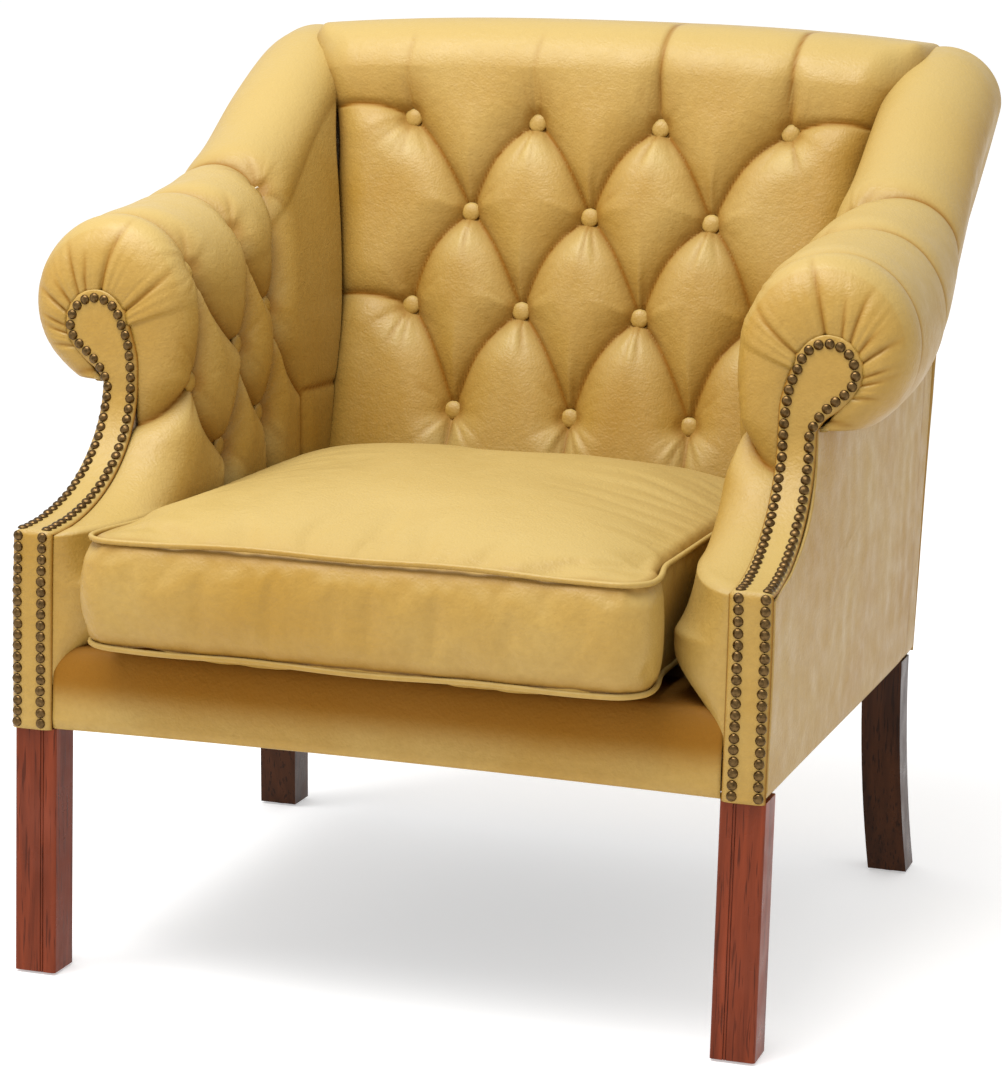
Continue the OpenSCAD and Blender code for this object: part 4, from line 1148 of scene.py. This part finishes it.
def cushion_shell():
    """The cushion before it swells: an outline extruded between its seams, remeshed, and crowned. Also each
    point's level, 0 at the lower seam and 1 at the upper."""
    bm = bmesh.new()
    outline = cushion_outline(-0.0008, 200)
    verts = [bm.verts.new((x, y + FRONT, PIPE_LOW)) for x, y in outline]
    bm.faces.new(verts)
    made = bmesh.ops.extrude_face_region(bm, geom=list(bm.faces))["geom"]
    raised = [v for v in made if isinstance(v, bmesh.types.BMVert)]
    bmesh.ops.translate(bm, vec=(0, 0, PIPE_HIGH - PIPE_LOW), verts=raised)
    obj = from_bmesh("seat_cushion", bm)
    bpy.context.scene.collection.objects.link(obj)
    remesh = obj.modifiers.new("Even faces", "REMESH")
    remesh.mode = "VOXEL"
    remesh.voxel_size = 0.0068
    bake(obj)
    co = coordinates(obj)
    t_y = (co[:, 1] - FRONT - (CUSHION_FRONT + CUSHION_REAR) / 2) / ((CUSHION_REAR - CUSHION_FRONT) / 2)
    t_x = co[:, 0] / EAR_X
    level = (co[:, 2] - PIPE_LOW) / (PIPE_HIGH - PIPE_LOW)
    dome_h = np.clip(1 - np.abs(t_y) ** 2.6, 0, 1) * np.clip(1 - np.abs(t_x) ** 3.4, 0, 1)
    co[:, 2] += np.where(level > 0.97, (CROWN - PIPE_HIGH - 0.002) * dome_h ** 0.8, 0)
    co[:, 2] -= np.where(level < 0.03, 0.012 * np.clip(dome_h * 2.2, 0, 1), 0)
    near_seam = (level > 0.03) & (level < 0.97)
    bulge = np.sin(np.clip(level, 0, 1) * math.pi) * near_seam
    front = 1 - smooth((co[:, 1] - FRONT + 0.02) / 0.05)
    co[:, 1] -= 0.0095 * bulge ** 0.7 * front
    ears = smooth((np.abs(co[:, 0]) - 0.225) / 0.03) * front
    co[:, 0] += np.sign(co[:, 0]) * 0.006 * bulge * ears
    obj.data.vertices.foreach_set("co", co.ravel())
    return obj, level


def coordinates(obj):
    """The points of a mesh as an array."""
    co = np.zeros(len(obj.data.vertices) * 3)
    obj.data.vertices.foreach_get("co", co)
    return co.reshape(-1, 3)


def bake(obj):
    """Applies the object's modifiers to its mesh."""
    graph = bpy.context.evaluated_depsgraph_get()
    mesh = bpy.data.meshes.new_from_object(obj.evaluated_get(graph))
    obj.modifiers.clear()
    obj.data = mesh


def outline_gap(co):
    """Distance of each point from the cushion's outline, seen from above."""
    line = cushion_outline(-0.0008, 200)
    best = np.full(len(co), 1e9)
    for a, b in zip(line, np.roll(line, -1, axis=0)):
        d = b - a
        p = co[:, :2] - (a + (0, FRONT))
        t = np.clip((p @ d) / (d @ d), 0, 1)
        best = np.minimum(best, np.hypot(*(p - t[:, None] * d).T))
    return best


def swell(obj, level):
    """Presses the filling outwards against the seams, then caps how far each point moved."""
    cushion = settings().cushion
    start = coordinates(obj)
    pins = obj.vertex_groups.new(name="seams")
    gap = outline_gap(start)
    seam = ((np.abs(level) < 0.035) | (np.abs(level - 1) < 0.035)) & (gap < 0.005)
    pins.add([int(i) for i in np.nonzero(seam)[0]], 1.0, "REPLACE")
    cloth = obj.modifiers.new("Cloth", "CLOTH")
    cloth.settings.quality = 6
    cloth.settings.mass = 0.4
    cloth.settings.tension_stiffness = 30
    cloth.settings.compression_stiffness = 30
    cloth.settings.shear_stiffness = 8
    cloth.settings.bending_stiffness = 0.6
    cloth.settings.use_pressure = True
    cloth.settings.uniform_pressure_force = cushion.pressure
    cloth.settings.shrink_min = -0.02
    cloth.settings.vertex_group_mass = "seams"
    cloth.settings.effector_weights.gravity = 0
    cloth.point_cache.frame_start = 1
    cloth.point_cache.frame_end = 20
    scene = bpy.context.scene
    for step in range(1, 21):
        scene.frame_set(step)
    bake(obj)
    scene.frame_set(1)
    moved = coordinates(obj) - start
    size = np.linalg.norm(moved, axis=1, keepdims=True)
    cap = cushion.swell
    moved *= cap * np.tanh(size / cap) / np.maximum(size, 1e-9)
    co = start + moved
    obj.data.vertices.foreach_set("co", co.ravel())
    obj.vertex_groups.clear()


def seat_levels(obj):
    """Keeps the cushion between the arms and above the deck, dents it softly and wrinkles its front."""
    co = coordinates(obj)
    side = BODY_X + 0.001
    behind = smooth((co[:, 1] - FRONT + 0.004) / 0.02)
    limit = mix(EAR_X + 0.012, side, behind)
    over = np.abs(co[:, 0]) - limit + 0.004
    squeeze = np.where(over > 0, 0.004 * np.tanh(over / 0.004) - over, 0)
    co[:, 0] += np.sign(co[:, 0]) * squeeze
    low = DECK + 0.0008
    eased = low + 0.003 * np.exp((co[:, 2] - low - 0.003) / 0.003)
    co[:, 2] = np.where(co[:, 2] < low + 0.003, eased, co[:, 2])
    top = smooth((co[:, 2] - PIPE_HIGH - 0.004) / 0.01)
    x, y = co[:, 0], co[:, 1]
    dents = 0.0016 * np.sin(13 * x + 1.1 + 2 * np.sin(7 * y)) * np.sin(11 * y + 0.4 + np.sin(9 * x))
    co[:, 2] += top * dents
    rear = co[:, 1] - FRONT - (CUSHION_REAR + 0.002)
    co[:, 1] -= np.where(rear > 0, rear, 0)
    level = np.clip((co[:, 2] - PIPE_LOW) / 0.097, 0, 1)
    face = (1 - smooth((co[:, 1] - FRONT + 0.035) / 0.02)) * np.sin(level * math.pi)
    ripple = np.sin(58 * x + 2.5 * np.sin(23 * x) + 30 * (co[:, 2] - 0.38))
    co[:, 1] += 0.0009 * ripple * face
    co[:, 0] += CUSHION_SHIFT
    obj.data.vertices.foreach_set("co", co.ravel())


def tube(name, path, radius, segments=10):
    """A closed cord of leather along a closed path of points."""
    path = np.asarray(path)
    forward = np.roll(path, -1, axis=0) - np.roll(path, 1, axis=0)
    forward /= np.linalg.norm(forward, axis=1, keepdims=True)
    out = np.stack([forward[:, 1], -forward[:, 0], 0 * forward[:, 0]], axis=1)
    out /= np.linalg.norm(out, axis=1, keepdims=True)
    up = np.cross(forward, out)
    angle = np.linspace(0, 2 * math.pi, segments, endpoint=False)
    wave, rise = np.cos(angle)[None, :, None], np.sin(angle)[None, :, None]
    rings = path[:, None] + radius * (out[:, None] * wave - up[:, None] * rise)
    rings = np.concatenate([rings, rings[:1]])
    rings = np.concatenate([rings, rings[:, :1]], axis=1)
    rings[..., 1] -= FRONT
    obj = sheet(name, rings, close=True)
    bm = bmesh.new()
    bm.from_mesh(obj.data)
    bmesh.ops.recalc_face_normals(bm, faces=bm.faces)
    bm.to_mesh(obj.data)
    bm.free()
    return obj


def make_cushion():
    """The loose cushion, swollen as cloth between its seams and then wrinkled."""
    cushion = settings().cushion
    obj, level = cushion_shell()
    swell(obj, level)
    seat_levels(obj)
    co = coordinates(obj)
    gap = outline_gap(co - (CUSHION_SHIFT, 0, 0))
    seam = np.minimum(np.abs(co[:, 2] - PIPE_HIGH), np.abs(co[:, 2] - PIPE_LOW))
    near = np.hypot(gap, seam)
    # Painted shade along the piping seams.
    painted_shade = obj.data.attributes.new("painted_shade", "FLOAT", "POINT")
    painted_shade.data.foreach_set("value", 0.6 * np.exp(-((near / 0.008) ** 2)))
    # Painted highlight over the top of the cushion.
    stretch_and_highlight = obj.data.attributes.new("stretch_and_highlight", "FLOAT", "POINT")
    stretch_and_highlight.data.foreach_set("value", 0.45 * smooth((co[:, 2] - PIPE_HIGH - 0.004) / 0.02))
    finer = obj.modifiers.new("Finer", "SUBSURF")
    finer.levels = finer.render_levels = 1
    finish(obj, leather(), "cushion", ["cushion_cover", "cushion_core"])
    for node, z in (("cushion_piping_top", PIPE_HIGH), ("cushion_piping_bottom", PIPE_LOW)):
        line = cushion_outline(-0.0004, 420)
        path = [(x + CUSHION_SHIFT, y + FRONT, float(seam_height(x, y, z))) for x, y in line]
        cord = tube(node.replace("cushion_", "cushion_welt_"), path, cushion.piping)
        finish(cord, leather(), "cushion", node)


# ---- carried-over parts ----
def dress(node, material):
    """Gives a part of the frame its material."""
    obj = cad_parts[node]
    obj.data.materials.clear()
    obj.data.materials.append(material)


def dress_frame():
    """Gives every part of the frame that shows as it is its own material."""
    wood = settings().wood
    front = mahogany("Front leg mahogany", tuple(wood.front_colour))
    # The rear legs' mahogany is a darker copy of the front legs', painted shade.
    rear = mahogany("Rear leg mahogany", tuple(wood.rear_shaded_colour))
    timber = pale_timber()
    hessian = woven("Hessian", (0.45, 0.33, 0.18), (0.20, 0.13, 0.06), 0.0022)
    black = woven("Cambric", (0.045, 0.043, 0.042), (0.015, 0.014, 0.014), 0.0010)
    felt = plain("Felt", (0.22, 0.21, 0.20), (0.36, 0.34, 0.32), 0.95)
    steel = metal("Spring steel", (0.50, 0.50, 0.52), 0.28, 0.48, (0.20, 0.19, 0.18))
    twine = plain("Twine", (0.55, 0.48, 0.34), (0.70, 0.63, 0.48), 0.85, 300)
    plastic = plain("Glide plastic", (0.045, 0.045, 0.05), (0.08, 0.08, 0.085), 0.5)
    tape = woven("Zip tape", (0.20, 0.12, 0.05), (0.10, 0.06, 0.02), 0.0008)
    finishes = {
        front: ("front_leg",),
        rear: ("rear_leg",),
        timber: ("front_seat_rail", "back_seat_rail", "side_seat_rail", "corner_blocks", "arm_post",
                 "arm_rail", "arm_ramp", "arm_tack_rail", "back_top_rail", "back_tack_rail"),
        steel: ("corner_block_screws", "seat_springs", "spring_clips"),
        hessian: ("seat_hessian", "back_webbing", "back_hessian", "arm_webbing"),
        felt: ("seat_felt",),
        twine: ("back_button_ties", "arm_button_ties"),
        black: ("dust_cover",),
        plastic: ("leg_glides",),
        tape: ("cushion_zip",),
        brass(): ("zip_slider",),
    }
    for material, starts in finishes.items():
        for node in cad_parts:
            if node.startswith(starts):
                dress(node, material)


# ---- stage ----
def make_floor():
    """A pale floor that runs on past the horizon."""
    bm = bmesh.new()
    bmesh.ops.create_grid(bm, x_segments=1, y_segments=1, size=400.0)
    obj = from_bmesh("studio_floor", bm)
    bpy.context.scene.collection.objects.link(obj)
    s = Shader("Studio floor")
    s.surface.inputs["Emission Color"].default_value = (1, 1, 1, 1)
    tone = s.blend(s.noise(3, 2), (0.74, 0.74, 0.74), (0.78, 0.78, 0.78))
    obj.data.materials.append(s.set(colour=tone, roughness=0.7, specular=0.2, glow=0.42))


def area_light(name, place, target, size, power, colour=(1, 1, 1)):
    """An oblong lamp that points at the target."""
    light = bpy.data.lights.new(name, "AREA")
    light.shape = "RECTANGLE"
    light.size, light.size_y = size
    light.energy = power
    light.color = colour
    obj = bpy.data.objects.new(name, light)
    bpy.context.scene.collection.objects.link(obj)
    obj.location = place
    obj.rotation_euler = (Vector(target) - Vector(place)).to_track_quat("-Z", "Y").to_euler()


def make_lights():
    """The key lamp, two fills and a pale surround."""
    key = settings().stage.key
    area_light("overhead", (-0.5, -1.0, 2.65), (0, 0, 0.5), (2.0, 1.4), key)
    area_light("left_fill", (-2.6, -1.6, 1.5), (0, 0, 0.5), (1.8, 1.8), key * 0.13)
    area_light("front_fill", (0.8, -3.4, 1.3), (0, 0, 0.45), (2.0, 1.4), key * 0.04)
    bpy.context.scene.view_settings.view_transform = "Standard"
    world = bpy.data.worlds.new("Studio")
    world.use_nodes = True
    ground = world.node_tree.nodes["Background"]
    ground.inputs["Color"].default_value = (1.0, 1.0, 1.0, 1)
    ground.inputs["Strength"].default_value = 0.80
    bpy.context.scene.world = world


def make_camera():
    """The view from the front, a little above the seat."""
    stage = settings().stage
    az, el = stage.azimuth, stage.elevation
    roll = 0.0287
    target = Vector((0.0189, -0.0675, 0.3982))
    place = Vector((0.9398, -3.0613, 0.9616))
    back = Vector((math.sin(az) * math.cos(el), -math.cos(az) * math.cos(el), math.sin(el)))
    side = Vector((0, 0, 1)).cross(back).normalized()
    up = back.cross(side)
    across = math.cos(roll) * side + math.sin(roll) * up
    upward = -math.sin(roll) * side + math.cos(roll) * up
    distance = (place - target).length
    data = bpy.data.cameras.new("camera")
    data.sensor_width = 36.0
    data.lens = 108.0
    obj = bpy.data.objects.new("camera", data)
    bpy.context.scene.collection.objects.link(obj)
    pose = Matrix((across, upward, back)).transposed().to_4x4()
    pose.translation = target + back * distance
    obj.matrix_world = pose
    bpy.context.scene.camera = obj


# ---- operators ----
class ARMCHAIR_OT_stage(bpy.types.Operator):
    """Make the floor, the lights and the camera"""

    bl_idname = "armchair.stage"
    bl_label = "Stage"

    def execute(self, context):
        make_camera()
        make_floor()
        make_lights()
        return {"FINISHED"}


class ARMCHAIR_OT_frame(bpy.types.Operator):
    """Finish the legs, the hidden frame and the seat's inside"""

    bl_idname = "armchair.frame"
    bl_label = "Legs and frame"

    def execute(self, context):
        dress_frame()
        return {"FINISHED"}


class ARMCHAIR_OT_arms(bpy.types.Operator):
    """Make the buttoned leather of the inside arms, their rolls and the wings"""

    bl_idname = "armchair.arms"
    bl_label = "Inside arms"

    def execute(self, context):
        for name, side in SIDES:
            make_arm(name, side)
        return {"FINISHED"}


class ARMCHAIR_OT_back(bpy.types.Operator):
    """Make the buttoned leather of the inside back and its top roll"""

    bl_idname = "armchair.back"
    bl_label = "Inside back"

    def execute(self, context):
        make_back()
        return {"FINISHED"}


class ARMCHAIR_OT_panels(bpy.types.Operator):
    """Make the outside arms, the outside back, the front border and the deck"""

    bl_idname = "armchair.panels"
    bl_label = "Outside panels"

    def execute(self, context):
        for name, side in SIDES:
            make_outside_arm(name, side)
        make_outside_back()
        make_front_border()
        make_deck()
        return {"FINISHED"}


class ARMCHAIR_OT_facings(bpy.types.Operator):
    """Make the facings and their nails"""

    bl_idname = "armchair.facings"
    bl_label = "Facings and nails"

    def execute(self, context):
        for name, side in SIDES:
            make_facing(name, side)
            make_nails(name, side)
        return {"FINISHED"}


class ARMCHAIR_OT_buttons(bpy.types.Operator):
    """Make the covered buttons"""

    bl_idname = "armchair.buttons"
    bl_label = "Buttons"

    def execute(self, context):
        make_back_buttons()
        for name, side in SIDES:
            make_arm_buttons(name, side)
        return {"FINISHED"}


class ARMCHAIR_OT_cushion(bpy.types.Operator):
    """Make the loose seat cushion and its piping"""

    bl_idname = "armchair.cushion"
    bl_label = "Cushion"

    def execute(self, context):
        make_cushion()
        return {"FINISHED"}


OPERATORS = (ARMCHAIR_OT_stage, ARMCHAIR_OT_frame, ARMCHAIR_OT_arms, ARMCHAIR_OT_back, ARMCHAIR_OT_panels,
             ARMCHAIR_OT_facings, ARMCHAIR_OT_buttons, ARMCHAIR_OT_cushion)


class ARMCHAIR_PT_panel(bpy.types.Panel):
    """Lists the armchair's operators and settings"""

    bl_label = "Armchair"
    bl_idname = "ARMCHAIR_PT_panel"
    bl_space_type = "VIEW_3D"
    bl_region_type = "UI"
    bl_category = "Armchair"

    def draw(self, context):
        for operator in OPERATORS:
            self.layout.operator(operator.bl_idname)
        for group in ("leather", "tufts", "nails", "cushion", "wood", "stage"):
            box = self.layout.box()
            values = getattr(context.scene.armchair, group)
            for field in values.__annotations__:
                box.prop(values, field)


CLASSES = (LeatherSettings, TuftSettings, NailSettings, CushionSettings, WoodSettings, StageSettings,
           ArmchairSettings, *OPERATORS, ARMCHAIR_PT_panel)


def register():
    for cls in CLASSES:
        bpy.utils.register_class(cls)
    bpy.types.Scene.armchair = bpy.props.PointerProperty(type=ArmchairSettings)


def unregister():
    del bpy.types.Scene.armchair
    for cls in reversed(CLASSES):
        bpy.utils.unregister_class(cls)


def main():
    register()
    bpy.ops.armchair.stage()
    bpy.ops.armchair.frame()
    bpy.ops.armchair.arms()
    bpy.ops.armchair.back()
    bpy.ops.armchair.panels()
    bpy.ops.armchair.facings()
    bpy.ops.armchair.buttons()
    bpy.ops.armchair.cushion()


if __name__ == "__main__":
    main()
